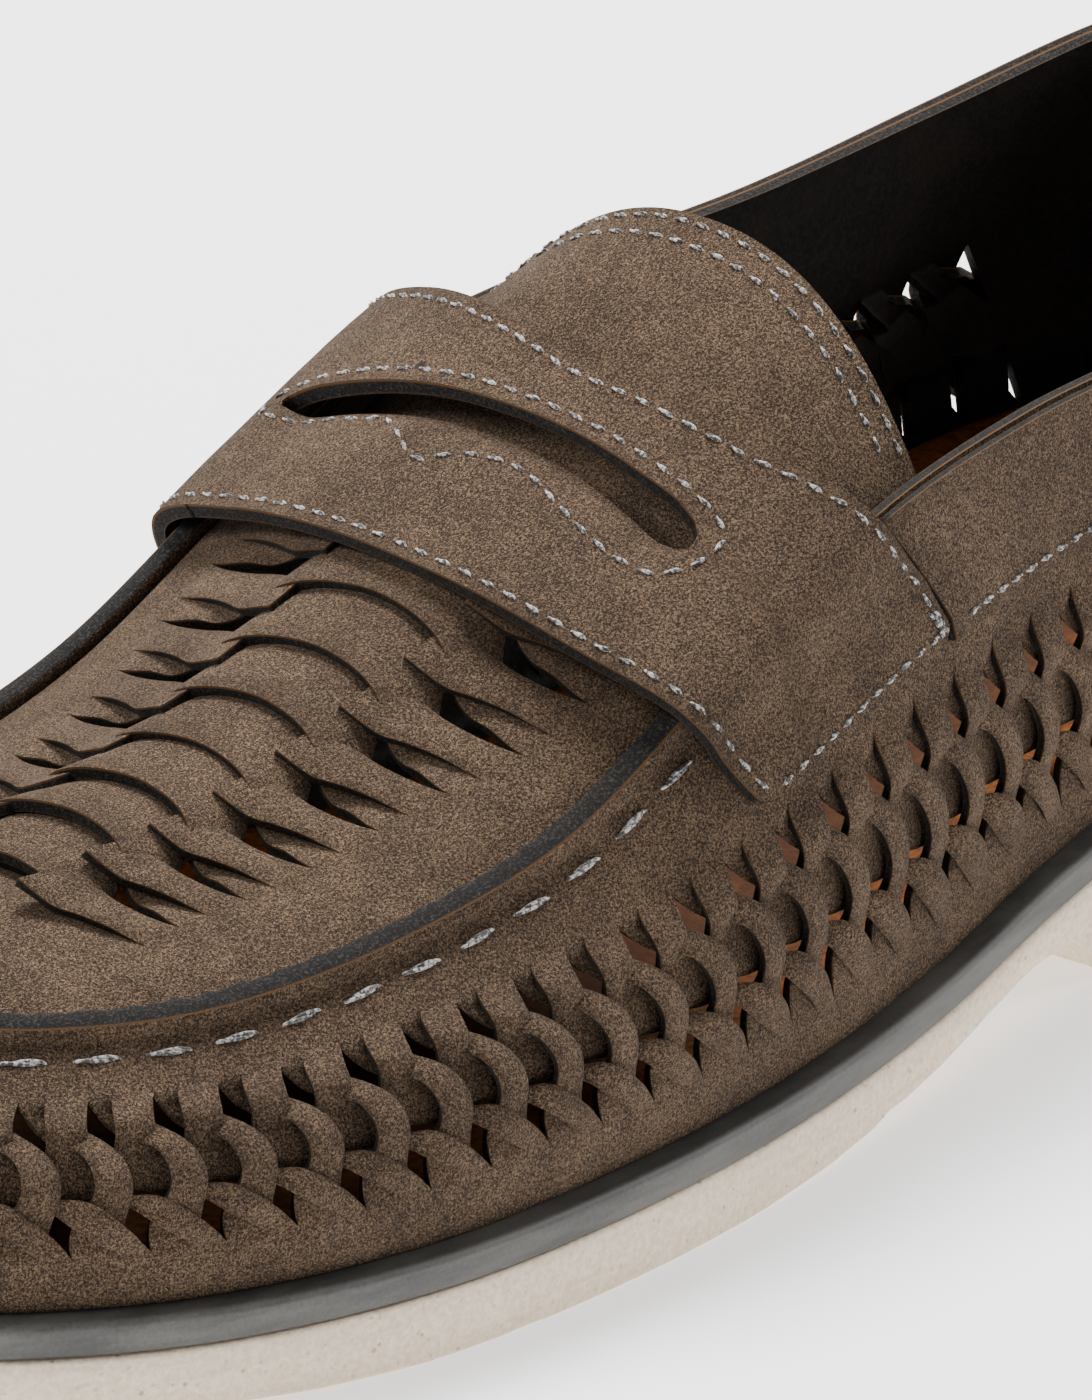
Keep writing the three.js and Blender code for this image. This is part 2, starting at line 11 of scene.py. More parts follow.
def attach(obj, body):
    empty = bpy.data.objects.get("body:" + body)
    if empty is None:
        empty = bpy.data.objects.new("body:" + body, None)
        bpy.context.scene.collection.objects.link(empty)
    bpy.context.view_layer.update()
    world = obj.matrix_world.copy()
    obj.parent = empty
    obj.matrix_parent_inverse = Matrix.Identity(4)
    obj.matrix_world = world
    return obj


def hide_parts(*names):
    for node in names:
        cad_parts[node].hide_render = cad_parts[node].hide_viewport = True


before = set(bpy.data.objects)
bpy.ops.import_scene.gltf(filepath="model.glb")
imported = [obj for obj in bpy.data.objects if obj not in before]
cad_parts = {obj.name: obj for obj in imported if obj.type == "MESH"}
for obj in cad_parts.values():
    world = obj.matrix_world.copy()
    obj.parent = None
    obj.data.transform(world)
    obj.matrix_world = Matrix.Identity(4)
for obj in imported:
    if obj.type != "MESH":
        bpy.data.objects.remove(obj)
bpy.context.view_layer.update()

MM = 0.001
UP = np.array([0.0, 0.0, 1.0])

# Driving sizes of the shoe
LENGTH = 300.0  # outsole, toe to heel
BALL_WIDTH = 103.0  # outsole across the ball
FORE_SOLE = 12.8  # floor to the upper's lower edge under the ball
HEEL_SEAT = 25.5  # floor to the upper's lower edge at the heel
INSTEP_RISE = 75.0
LEATHER = 1.2  # wall behind the strips
MARGIN_RAISE = 0.6  # uncut leather above that wall
SEAM_RISE = 2.4
LEDGE = 3.8  # midsole beyond the upper
MIDSOLE = 4.2
INSOLE = 2.8
TONGUE = 2.2
STRAP = 2.0
STRAP_LIFT = 4.2  # strap above the vamp on the centre line
COLLAR_BAND = 1.3
FIT = 0.3  # clearance between neighbours
THROAT = 0.452 * LENGTH  # the vamp's rear edge, under the strap

# The last, one row for each section from toe to heel. A row number is positive on the outer side and
# negative on the inner side. The back columns are shares of LENGTH, the widths and the axis of
# BALL_WIDTH, lift of the heel's rise, and crown_up and ridge of INSTEP_RISE.
COLUMNS = ["back", "outer", "inner", "lift", "crown_back", "crown_outer", "crown_inner", "crown_up",
           "ridge", "axis"]
LAST = np.array([
    [0.013, 0.0, 0.0, 0.45, 0.09, 0.0, 0.0, 0.369, 0.383, 0.078],
    [0.022, 0.136, 0.136, 0.417, 0.095, 0.087, 0.087, 0.368, 0.389, 0.073],
    [0.047, 0.243, 0.248, 0.33, 0.11, 0.18, 0.178, 0.363, 0.4, 0.066],
    [0.093, 0.34, 0.335, 0.19, 0.143, 0.26, 0.251, 0.355, 0.424, 0.053],
    [0.167, 0.422, 0.398, 0.063, 0.2, 0.32, 0.303, 0.352, 0.453, 0.035],
    [0.26, 0.471, 0.437, 0.0, 0.28, 0.351, 0.331, 0.38, 0.48, 0.017],
    [0.36, 0.481, 0.447, 0.0, 0.367, 0.365, 0.34, 0.448, 0.581, 0.009],
    [0.46, 0.451, 0.398, 0.0, 0.46, 0.353, 0.344, 0.62, 0.748, -0.002],
    [0.56, 0.398, 0.33, 0.079, 0.55, 0.33, 0.346, 0.749, 0.975, -0.008],
    [0.66, 0.354, 0.296, 0.378, 0.65, 0.312, 0.32, 0.787, 1.145, 0.0],
    [0.76, 0.325, 0.301, 0.669, 0.753, 0.294, 0.309, 0.787, 1.24, 0.0],
    [0.86, 0.306, 0.301, 0.898, 0.853, 0.282, 0.284, 0.823, 1.3, 0.0],
    [0.937, 0.243, 0.243, 0.984, 0.93, 0.218, 0.218, 0.896, 1.35, 0.0],
    [0.973, 0.15, 0.15, 1.0, 0.963, 0.126, 0.126, 0.949, 1.38, 0.0],
    [0.988, 0.0, 0.0, 1.0, 0.973, 0.0, 0.0, 0.969, 1.39, 0.0],
])
HEEL_ROW = len(LAST) - 1


# Curves and places on the last
def lerp(a, b, t):
    return a + (b - a) * t


def unit(v):
    return v / np.maximum(np.linalg.norm(v, axis=-1, keepdims=True), 1e-12)


def spline(a, b, c, d, t):
    """A Catmull-Rom curve between b and c."""
    return 0.5 * (2 * b + (c - a) * t + (2 * a - 5 * b + 4 * c - d) * t**2 + (3 * b - a - 3 * c + d) * t**3)


def curve(knots, row):
    """A closed curve through the rows, outer side first and inner side back."""
    row = np.asarray(row, float)
    first = np.floor(row).astype(int)
    return spline(*(knots[(first + k) % len(knots)] for k in (-1, 0, 1, 2)), row - first)


def knots_of(outer, inner=None, sign=1.0):
    first = LAST[:, COLUMNS.index(outer)] * sign
    second = LAST[:, COLUMNS.index(inner or outer)]
    return np.concatenate([first, second[-2:0:-1]])


KNOTS = {name: knots_of(name) for name in COLUMNS}
FOOT_SIDE = knots_of("outer", "inner", -1.0)
CROWN_SIDE = knots_of("crown_outer", "crown_inner", -1.0)


def value(name, row):
    return curve(KNOTS[name], row)


def foot(row):
    """The feather line, where the upper meets the sole."""
    y = curve(FOOT_SIDE, row) + value("axis", row)
    z = FORE_SOLE + value("lift", row) * (HEEL_SEAT - FORE_SOLE)
    return np.stack([(value("back", row) - 0.5) * LENGTH, y * BALL_WIDTH, z], -1)


def crown(row):
    """The upper's top line: the seam round the vamp, then the topline."""
    y = curve(CROWN_SIDE, row) + value("axis", row)
    z = FORE_SOLE + value("crown_up", row) * INSTEP_RISE
    return np.stack([(value("crown_back", row) - 0.5) * LENGTH, y * BALL_WIDTH, z], -1)


def outward(row):
    """The level direction away from the shoe."""
    run = foot(row + 0.01) - foot(row - 0.01)
    return unit(np.stack([run[..., 1], -run[..., 0], 0 * run[..., 0]], -1))


def wall(row, v):
    """The side wall, from the feather line (v = 0) to the crown line (v = 1)."""
    row, v = np.broadcast_arrays(np.asarray(row, float), np.asarray(v, float))
    bottom, top, out = foot(row), crown(row), outward(row)
    height = (top - bottom)[..., 2]
    inset = np.maximum(0, ((bottom - top) * out).sum(-1))
    lean = np.clip(inset / (0.145 * BALL_WIDTH), 0, 1)
    low = bottom + out * ((0.024 + 0.02 * lean) * BALL_WIDTH)[..., None] + UP * (0.42 * height)[..., None]
    high = top + out * (0.008 * BALL_WIDTH + 0.62 * inset)[..., None]
    high = high - UP * ((0.33 - 0.1 * lean) * height)[..., None]
    v = v[..., None]
    w = 1 - v
    return bottom * w**3 + low * 3 * w * w * v + high * 3 * w * v * v + top * v**3


def wall_normal(row, v):
    rise = wall(row, v + 0.01) - wall(row, v - 0.01)
    run = wall(row + 0.01, v) - wall(row - 0.01, v)
    return unit(np.cross(run, rise))


def vamp(outer_row, inner_row, t):
    """The vamp's arched top: t = -1 at the outer seam, 1 at the inner one."""
    t = np.asarray(t, float)
    p = lerp(crown(outer_row), crown(inner_row), ((t + 1) / 2)[..., None])
    ridge = FORE_SOLE + value("ridge", (outer_row - inner_row) / 2) * INSTEP_RISE
    p[..., 2] += (ridge - p[..., 2]) * (1 - np.abs(t) ** 2.2)
    return p


ROWS = np.linspace(0, HEEL_ROW, 2801)
CROWN_BACK = value("crown_back", ROWS) * LENGTH


def row_at(back):
    """Row whose crown line lies at a distance from the toe."""
    return np.interp(back, CROWN_BACK, ROWS)


def apron(back, t):
    """A point of the vamp's top at a distance from the toe."""
    row = row_at(back)
    return vamp(row, -row, t)


def half_width(back):
    row = row_at(back)
    return (crown(-row) - crown(row))[..., 1] / 2


RING_STEPS = 720
RING_ROWS = np.linspace(-HEEL_ROW, HEEL_ROW, 2 * RING_STEPS + 1)
RING = wall(RING_ROWS, 0.5) * [1, 1, 0]
RING_LENGTH = np.concatenate([[0], np.cumsum(np.linalg.norm(np.diff(RING, axis=0), axis=1))])
RING_LENGTH -= RING_LENGTH[RING_STEPS]
OUTER_LENGTH = RING_LENGTH[-1]
INNER_LENGTH = -RING_LENGTH[0]


def row_round(distance):
    """Row at a distance round the shoe from the toe, at half height: positive on the outer side."""
    return np.interp(distance, RING_LENGTH, RING_ROWS)


OUTLINE = foot(RING_ROWS) + outward(RING_ROWS) * LEDGE
MIDDLE = (OUTLINE.min(0) + OUTLINE.max(0)) / 2 * [1, 1, 0]


def smooth_table(table, count):
    """Rows of a short table, filled in by a Catmull-Rom curve."""
    table = np.asarray(table, float)
    ends = np.vstack([2 * table[0] - table[1], table, 2 * table[-1] - table[-2]])
    place = np.linspace(0, len(table) - 1, count)
    first = np.minimum(place.astype(int), len(table) - 2)
    return spline(*(ends[first + k] for k in range(4)), (place - first)[:, None])


def facing_of(place, a, b):
    """A surface's direction at its coordinates (a, b), from the change of place to both sides."""
    e = 1e-3
    return unit(np.cross(place(a + e, b) - place(a - e, b), place(a, b + e) - place(a, b - e)))


def turned_to(facing, guide):
    """The same direction, turned over where it points away from the guide."""
    sign = np.sign((facing * guide).sum(-1, keepdims=True))
    return facing * np.where(sign == 0, 1, sign)


# Leather in sheets
class Leather:
    """Outer and inner points in pairs. Where two sheets share an outer point they become one."""

    def __init__(self):
        self.outer = []
        self.inner = []
        self.rim = []
        self.core = []
        self.quads = []
        self.slots = []
        self.count = 0

    def grid(self, outer, thickness, rim, toward, core=0.0, slot=0):
        """Adds a grid of points, its faces turned the way that toward points.

        rim is 1 at an edge, where the suede is darkened for rubbed nap and painted edge shade. core says how
        deep in a cut edge a point lies.
        """
        outer = np.asarray(outer, float)
        down, across = np.gradient(outer, axis=0), np.gradient(outer, axis=1)
        normal = np.cross(down, across)
        short = np.linalg.norm(normal, axis=-1) < 1e-9
        normal = unit(normal)
        guide = np.broadcast_to(toward, outer.shape)
        flip = (normal * guide)[~short].sum() < 0
        if flip:
            normal = -normal
        normal[short] = unit(guide)[short]
        thickness = np.broadcast_to(np.asarray(thickness, float), outer.shape[:2])
        shape = outer.shape[:2]
        ids = self.count + np.arange(shape[0] * shape[1]).reshape(shape)
        quads = np.stack([ids[:-1, :-1], ids[1:, :-1], ids[1:, 1:], ids[:-1, 1:]], -1).reshape(-1, 4)
        self.quads.append(quads[:, ::-1] if flip else quads)
        self.slots.append(np.full(len(quads), slot))
        self.outer.append(outer.reshape(-1, 3))
        self.inner.append((outer - normal * thickness[..., None]).reshape(-1, 3))
        self.rim.append(np.broadcast_to(rim, shape).ravel())
        self.core.append(np.broadcast_to(core, shape).ravel())
        self.count += ids.size

    def mesh(self, name, materials):
        """One closed mesh: outer faces, inner faces, and cut edges between them."""
        outer = np.vstack(self.outer)
        inner = np.vstack(self.inner)
        quads = np.vstack(self.quads)
        keys = np.round(outer * 500).astype(np.int64)
        keep, where = np.unique(keys, axis=0, return_index=True, return_inverse=True)[1:]
        where = where.ravel()
        total = np.bincount(where)
        inner = np.stack([np.bincount(where, inner[:, k]) / total for k in range(3)], -1)
        rim = np.bincount(where, np.concatenate(self.rim)) / total
        core = np.bincount(where, np.concatenate(self.core)) / total
        outer = outer[keep]
        quads = where[quads]
        edges = np.stack([quads, np.roll(quads, -1, axis=1)], -1).reshape(-1, 2)
        edges = edges[edges[:, 0] != edges[:, 1]]
        count = len(outer)
        code = edges[:, 0] * count + edges[:, 1]
        other = edges[:, 1] * count + edges[:, 0]
        free = edges[~np.isin(code, other)]
        sides = np.stack([free[:, 1], free[:, 0], free[:, 0] + count, free[:, 1] + count], -1)
        slots = np.concatenate(self.slots).tolist() + [1] * len(quads) + [2] * len(sides)
        faces = quads.tolist() + (quads[:, ::-1] + count).tolist() + sides.tolist()
        faces = [list(dict.fromkeys(f)) for f in faces]
        kept = [i for i, f in enumerate(faces) if len(f) > 2]
        faces = [faces[i] for i in kept]
        slots = [slots[i] for i in kept]
        depth = np.concatenate([core, np.ones(count)])
        piece = make_piece(name, np.vstack([outer, inner]), faces, materials, slots,
                           {"depth": depth, "rim": np.concatenate([rim, rim])})
        sharp = set()
        for a, b in free.tolist():
            sharp.add((min(a, b), max(a, b)))
            sharp.add((min(a, b) + count, max(a, b) + count))
        mark_sharp(piece, sharp)
        return piece


def make_piece(name, points, faces, materials, slots, attributes):
    """A smooth mesh in metres round the shoe's middle, with a value for each point in every attribute."""
    mesh = bpy.data.meshes.new(name)
    mesh.from_pydata(((np.asarray(points) - MIDDLE) * MM).tolist(), [], faces)
    for material in materials:
        mesh.materials.append(material)
    mesh.polygons.foreach_set("material_index", slots)
    mesh.polygons.foreach_set("use_smooth", [True] * len(mesh.polygons))
    for key, values in attributes.items():
        layer = mesh.attributes.new(key, "FLOAT", "POINT")
        layer.data.foreach_set("value", np.asarray(values, np.float32))
    mesh.update()
    piece = bpy.data.objects.new(name, mesh)
    bpy.context.scene.collection.objects.link(piece)
    return piece


def mark_sharp(piece, pairs):
    mesh = piece.data
    ends = np.zeros(len(mesh.edges) * 2, np.int64)
    mesh.edges.foreach_get("vertices", ends)
    flags = [(min(a, b), max(a, b)) in pairs for a, b in ends.reshape(-1, 2).tolist()]
    layer = mesh.attributes.new("sharp_edge", "BOOLEAN", "EDGE")
    layer.data.foreach_set("value", flags)


# Shader maths: a link to a node's output that takes part in plain expressions
class Link:
    def __init__(self, finish, socket):
        self.finish = finish
        self.socket = socket

    def _math(self, operation, first, second):
        node = self.finish.tree.nodes.new("ShaderNodeMath")
        node.operation = operation
        for k, entry in enumerate((first, second)):
            self.finish.plug(node.inputs[k], entry)
        return Link(self.finish, node.outputs[0])

    def __add__(self, other):
        return self._math("ADD", self, other)

    def __sub__(self, other):
        return self._math("SUBTRACT", self, other)

    def __rsub__(self, other):
        return self._math("SUBTRACT", other, self)

    def __mul__(self, other):
        return self._math("MULTIPLY", self, other)

    __radd__ = __add__
    __rmul__ = __mul__

    def step(self, low, high):
        """0 below low, 1 above high, smooth between. low may be the larger."""
        node = self.finish.tree.nodes.new("ShaderNodeMapRange")
        node.interpolation_type = "SMOOTHSTEP"
        self.finish.plug(node.inputs["Value"], self)
        turned = low > high
        node.inputs["From Min"].default_value = min(low, high)
        node.inputs["From Max"].default_value = max(low, high)
        node.inputs["To Min"].default_value = 1.0 if turned else 0.0
        node.inputs["To Max"].default_value = 0.0 if turned else 1.0
        return Link(self.finish, node.outputs["Result"])


class Finish:
    """A material with one shader, built from links."""

    def __init__(self, name, **constants):
        self.material = bpy.data.materials.new(name)
        self.material.use_nodes = True
        self.tree = self.material.node_tree
        self.tree.nodes.clear()
        self.shader = self.tree.nodes.new("ShaderNodeBsdfPrincipled")
        output = self.tree.nodes.new("ShaderNodeOutputMaterial")
        self.tree.links.new(self.shader.outputs[0], output.inputs[0])
        for key, entry in constants.items():
            self.shader.inputs[key.replace("_", " ")].default_value = entry
        self.place = self.node("ShaderNodeTexCoord", output="Object")

    def plug(self, socket, entry):
        if isinstance(entry, Link):
            self.tree.links.new(entry.socket, socket)
        else:
            socket.default_value = entry

    def node(self, kind, settings=None, output=0, **entries):
        node = self.tree.nodes.new(kind)
        for key, entry in (settings or {}).items():
            setattr(node, key, entry)
        for key, entry in entries.items():
            self.plug(node.inputs[key.replace("_", " ")], entry)
        return Link(self, node.outputs[output])

    def noise(self, size, detail=2.0, rough=0.5, where=None, warp=0.0):
        """Noise from 0 to 1 with features of about the given size in millimetres."""
        return self.node("ShaderNodeTexNoise", Vector=where or self.place, Scale=1 / (size * MM),
                         Detail=detail, Roughness=rough, Distortion=warp)

    def cells(self, size):
        """Distance to the nearest of many scattered points, about the given size apart."""
        return self.node("ShaderNodeTexVoronoi", output="Distance", Vector=self.place, Scale=1 / (size * MM))

    def attribute(self, name):
        return self.node("ShaderNodeAttribute", {"attribute_name": name}, output="Fac")

    def stretched(self, x, y, z):
        """Object coordinates stretched, for grain that runs one way."""
        return self.node("ShaderNodeMapping", Vector=self.place, Scale=(x, y, z))

    def mix(self, share, first, second):
        """Colour from first (share 0) to second (share 1)."""
        node = self.tree.nodes.new("ShaderNodeMix")
        node.data_type = "RGBA"
        self.plug(node.inputs[0], share)
        for socket, entry in ((node.inputs[6], first), (node.inputs[7], second)):
            self.plug(socket, entry if isinstance(entry, Link) else colour(entry))
        return Link(self, node.outputs[2])

    def bump(self, height, depth):
        """Relief of the given depth in millimetres."""
        return self.node("ShaderNodeBump", Height=height, Distance=depth * MM, Strength=1.0)

    def wear(self, tint, rough, relief):
        """The finished material."""
        self.plug(self.shader.inputs["Base Color"], tint if isinstance(tint, Link) else colour(tint))
        self.plug(self.shader.inputs["Roughness"], rough)
        if relief is not None:
            self.plug(self.shader.inputs["Normal"], relief)
        return self.material


def colour(rgb):
    """A screen colour of three numbers to 255, as the renderer's linear colour."""
    linear = [((c / 255 + 0.055) / 1.055) ** 2.4 if c > 10 else c / 255 / 12.92 for c in rgb]
    return (*linear, 1.0)


# Finishes
SUEDE_DARK = (38, 29, 22)
SUEDE_MID = (84, 67, 52)
SUEDE_LIGHT = (156, 131, 104)
TAN_RIM = (98, 68, 38)


def suede_finish():
    """Napped suede: light and dark fibres, faint clouds, pores and a few dark specks."""
    f = Finish("suede", Specular_IOR_Level=0.1, Sheen_Weight=0.03, Sheen_Roughness=0.5)
    nap = f.noise(0.30, 3.0, 0.7)
    fine = f.noise(0.13, 2.0, 0.6)
    cloud = f.noise(14.0, 3.0, 0.55, warp=0.4)
    patchy = f.noise(3.2, 2.0, 0.5)
    grain = (nap * 0.55 + fine * 0.45).step(0.39, 0.61)
    tone = (grain * 0.8 + cloud.step(0.3, 0.7) * 0.13 + patchy.step(0.3, 0.7) * 0.07)
    tint = f.mix(tone.step(0.12, 0.62), SUEDE_DARK, SUEDE_MID)
    tint = f.mix(tone.step(0.55, 1.0) * 0.55, tint, SUEDE_LIGHT)
    warm = f.noise(0.5, 2.0, 0.6).step(0.56, 0.72) * 0.3
    tint = f.mix(warm, tint, tuple(c * k for c, k in zip(SUEDE_MID, (1.08, 0.96, 0.84))))
    pores = f.cells(1.5).step(0.13, 0.07) * f.noise(2.6, 1.0).step(0.5, 0.6)
    tint = f.mix(pores * 0.75, tint, (46, 37, 31))
    specks = f.cells(26.0).step(0.03, 0.022)
    tint = f.mix(specks * 0.8, tint, (40, 32, 28))
    # The rim darkens the edges: partly rubbed nap, partly painted edge shade.
    rim = f.attribute("rim")
    tint = f.mix(rim * (0.25 + fine * 0.5) * 0.5, tint, (60, 46, 34))
    relief = f.bump(grain * 0.8 + fine * 0.35 - pores * 1.2 + cloud * 0.6, 0.14)
    return f.wear(tint, 0.93 - grain * 0.08, relief)


def cut_finish():
    """The leather's cut edge: charcoal core with a tan rim under the nap."""
    f = Finish("cut_edge", Specular_IOR_Level=0.2)
    depth = f.attribute("depth")
    fibre = f.noise(0.35, 3.0, 0.7)
    rim = (depth + fibre * 0.22 - 0.11).step(0.22, 0.12)
    low = (depth + fibre * 0.2 - 0.1).step(0.86, 0.95)
    core = f.mix(fibre.step(0.45, 0.72), (18, 17, 16), (56, 52, 48))
    tint = f.mix(rim * 0.7, core, TAN_RIM)
    tint = f.mix(low * 0.35, tint, (84, 60, 38))
    return f.wear(tint, 0.95, f.bump(fibre, 0.12))


def lining_finish():
    f = Finish("black_lining", Specular_IOR_Level=0.3)
    grain = f.noise(0.7, 3.0, 0.6)
    cloud = f.noise(12.0, 2.0)
    tint = f.mix(grain.step(0.35, 0.7), (18, 17, 16), (38, 36, 34))
    tint = f.mix(cloud.step(0.4, 0.7) * 0.3, tint, (54, 45, 38))
    return f.wear(tint, 0.62 + grain * 0.2, f.bump(grain, 0.08))


def thread_finish():
    """Two-ply thread, pale grey and dark grey turns."""
    f = Finish("thread", Specular_IOR_Level=0.5, Sheen_Weight=0.2)
    turn = f.noise(0.55, 2.0, 0.6)
    tint = f.mix(turn.step(0.44, 0.60), (48, 45, 44), (176, 172, 168))
    return f.wear(tint, 0.5, f.bump(turn, 0.1))


def midsole_finish():
    f = Finish("dark_rubber", Specular_IOR_Level=0.5)
    grain = f.noise(0.5, 3.0, 0.6)
    streak = f.noise(3.0, 3.0, 0.6, where=f.stretched(0.12, 0.3, 1.0))
    tone = grain * 0.3 + streak * 0.7
    tint = f.mix(tone.step(0.3, 0.7), (44, 43, 41), (84, 82, 78))
    return f.wear(tint, 0.42 + grain * 0.2, f.bump(tone, 0.05))


def crepe_finish():
    f = Finish("cream_rubber", Specular_IOR_Level=0.3)
    grain = f.noise(0.8, 3.0, 0.65)
    fleck = f.cells(1.7).step(0.2, 0.1)
    dots = f.cells(3.1).step(0.12, 0.07)
    layer = f.noise(1.3, 2.0, 0.5, where=f.stretched(0.1, 0.1, 1.0))
    tint = f.mix(grain.step(0.3, 0.7), (230, 208, 182), (248, 232, 210))
    tint = f.mix(fleck * 0.35, tint, (182, 160, 136))
    tint = f.mix(dots * 0.6, tint, (150, 124, 100))
    tint = f.mix(layer.step(0.55, 0.7) * 0.25, tint, (196, 180, 160))
    return f.wear(tint, 0.86, f.bump(grain + layer * 0.6 - fleck * 0.5, 0.12))


def insole_finish():
    """Tan fibreboard, darker along its middle for the shade inside the shoe."""
    f = Finish("tan_leather", Specular_IOR_Level=0.06)
    fibre = f.noise(1.6, 4.0, 0.7, warp=1.2)
    mottle = f.noise(4.5, 3.0, 0.65, warp=0.8)
    tint = f.mix(fibre.step(0.34, 0.68), (78, 39, 12), (124, 70, 23))
    tint = f.mix(mottle.step(0.52, 0.74) * 0.6, tint, (148, 95, 42))
    dark = f.cells(2.4).step(0.16, 0.08) * fibre.step(0.6, 0.4)
    tint = f.mix(dark * 0.6, tint, (66, 34, 12))
    tint = f.mix(f.attribute("shade") * 0.8, tint, (50, 29, 16))
    return f.wear(tint, 0.7, f.bump(fibre + mottle * 0.5, 0.1))


SUEDE = suede_finish()
FLESH = lining_finish()
CUT = cut_finish()
THREAD = thread_finish()
DARK_RUBBER = midsole_finish()
CREPE = crepe_finish()
TAN = insole_finish()
LEATHERS = [SUEDE, FLESH, CUT]


# Side weave. A place is (q, w): millimetres towards the heel, and height share from lower to upper roots.
WEAVE_PITCH = 8.7
WEAVE_FIRST = 6.7  # first strip, from the toe
WEAVE_END = 0.9 * LENGTH  # the weave stops here and the heel is plain
WEAVE_PLAIN_HEEL = 40  # plain wall round the heel, on each side
WIDEN_OUTER, WIDEN_INNER = 0.25, 1.5  # added to each edge of a strip
STRIP_LEATHER = 1.3
STRIP_CROWN = 0.3  # a strip's middle above its edges
SHEET = LEATHER + MARGIN_RAISE
SHARES = np.array([0, 0.07, 0.3, 0.7, 0.93, 1])  # columns across a strip
# Row of the last, and the lower and upper ends of the cuts there as shares of the wall
WEAVE_LIMITS = np.array([
    [0, 0.22, 0.79],
    [5, 0.21, 0.79],
    [5.5, 0.20, 0.77],
    [6, 0.155, 0.735],
    [6.4, 0.135, 0.685],
    [6.9, 0.12, 0.635],
    [7.4, 0.10, 0.61],
    [8, 0.085, 0.59],
    [9, 0.08, 0.57],
    [14, 0.10, 0.56],
])
# Under strip, then the curved over strip: front edge q, w, height, and back edge q, w, height
STRIP_A = [
    [0.0, 1.00, 0.0, 3.2, 1.00, 0.0],
    [0.0, 0.95, -0.1, 3.25, 0.94, -0.3],
    [0.9, 0.905, -0.4, 3.9, 0.905, -0.9],
    [2.4, 0.83, -0.7, 5.2, 0.88, -1.1],
    [4.0, 0.77, -0.8, 6.3, 0.855, -0.9],
    [5.4, 0.715, -0.3, 7.6, 0.82, -0.1],
    [7.0, 0.68, 0.6, 9.2, 0.76, 0.5],
    [8.4, 0.635, 1.2, 10.8, 0.705, 0.8],
    [9.7, 0.55, 1.6, 12.9, 0.615, 1.0],
    [10.5, 0.45, 1.7, 14.4, 0.49, 1.1],
    [10.6, 0.36, 1.2, 15.0, 0.38, 0.7],
    [10.1, 0.28, 0.3, 15.0, 0.29, 0.2],
    [9.6, 0.21, -0.3, 15.1, 0.21, -0.2],
    [9.6, 0.14, -0.4, 15.3, 0.13, -0.3],
    [9.8, 0.06, -0.2, 15.4, 0.05, -0.1],
    [10.0, 0.0, 0.0, 15.4, 0.0, 0.0],
]
# Upper leaf, patch under the curved strip, and lower leaf
STRIP_B = [
    [3.2, 1.00, 0.0, 8.7, 1.00, 0.0],
    [3.0, 0.945, 0.3, 8.2, 0.945, 0.3],
    [3.0, 0.865, 0.9, 7.9, 0.86, 0.9],
    [3.2, 0.80, 1.2, 8.0, 0.79, 1.1],
    [3.6, 0.735, 0.9, 8.3, 0.73, 0.8],
    [4.0, 0.67, 0.0, 8.9, 0.69, 0.0],
    [4.2, 0.60, -0.7, 10.0, 0.66, -0.6],
    [4.8, 0.50, -0.8, 11.8, 0.60, -0.9],
    [6.0, 0.43, -0.8, 13.0, 0.52, -1.1],
    [8.5, 0.39, -0.7, 13.8, 0.45, -1.2],
    [11.0, 0.36, -0.9, 14.2, 0.42, -1.2],
    [13.0, 0.345, -1.0, 14.7, 0.395, -1.1],
    [14.6, 0.325, -0.3, 15.4, 0.385, -0.2],
    [16.0, 0.275, 0.8, 17.4, 0.37, 0.7],
    [18.0, 0.20, 1.3, 19.4, 0.32, 1.1],
    [20.2, 0.13, 1.1, 21.6, 0.245, 1.0],
    [22.2, 0.065, 0.6, 24.0, 0.16, 0.6],
    [23.6, 0.02, 0.2, 26.0, 0.07, 0.2],
    [24.1, 0.0, 0.0, 27.4, 0.0, 0.0],
]
# Where the two strips start at the upper and lower roots, front edge to back edge
TOP_A, TOP_B = (0.0, 3.2), (3.2, 8.7)
LOW_A, LOW_B = (10.0, 15.4), (15.4, 18.7)
TURN = np.array([0.4, 1.0, 1.0, 0.6, 0.2])  # how a loose lower leaf turns up, along its rows


def weave_height(row, w):
    """Share of the wall's height at a share of the weave's height."""
    row = np.abs(row)
    low = np.interp(row, WEAVE_LIMITS[:, 0], WEAVE_LIMITS[:, 1])
    high = np.interp(row, WEAVE_LIMITS[:, 0], WEAVE_LIMITS[:, 2])
    return lerp(low, high, w)


def weave_place(side, start, q, w, height):
    """A point of the wall from weave coordinates, raised along the wall's normal."""
    row = row_round(side * (start + q))
    v = weave_height(row, w)
    return wall(row, v) + wall_normal(row, v) * (MARGIN_RAISE + np.asarray(height))[..., None]


def side_length(side):
    return OUTER_LENGTH if side > 0 else INNER_LENGTH


def weave_starts(side):
    """Where the strips start, as distances round the shoe from the toe."""
    starts = WEAVE_FIRST + WEAVE_PITCH * np.arange(90)
    back = value("crown_back", np.abs(row_round(side * (starts + WEAVE_PITCH)))) * LENGTH
    return starts[(back < WEAVE_END) & (starts < side_length(side) - WEAVE_PLAIN_HEEL)]


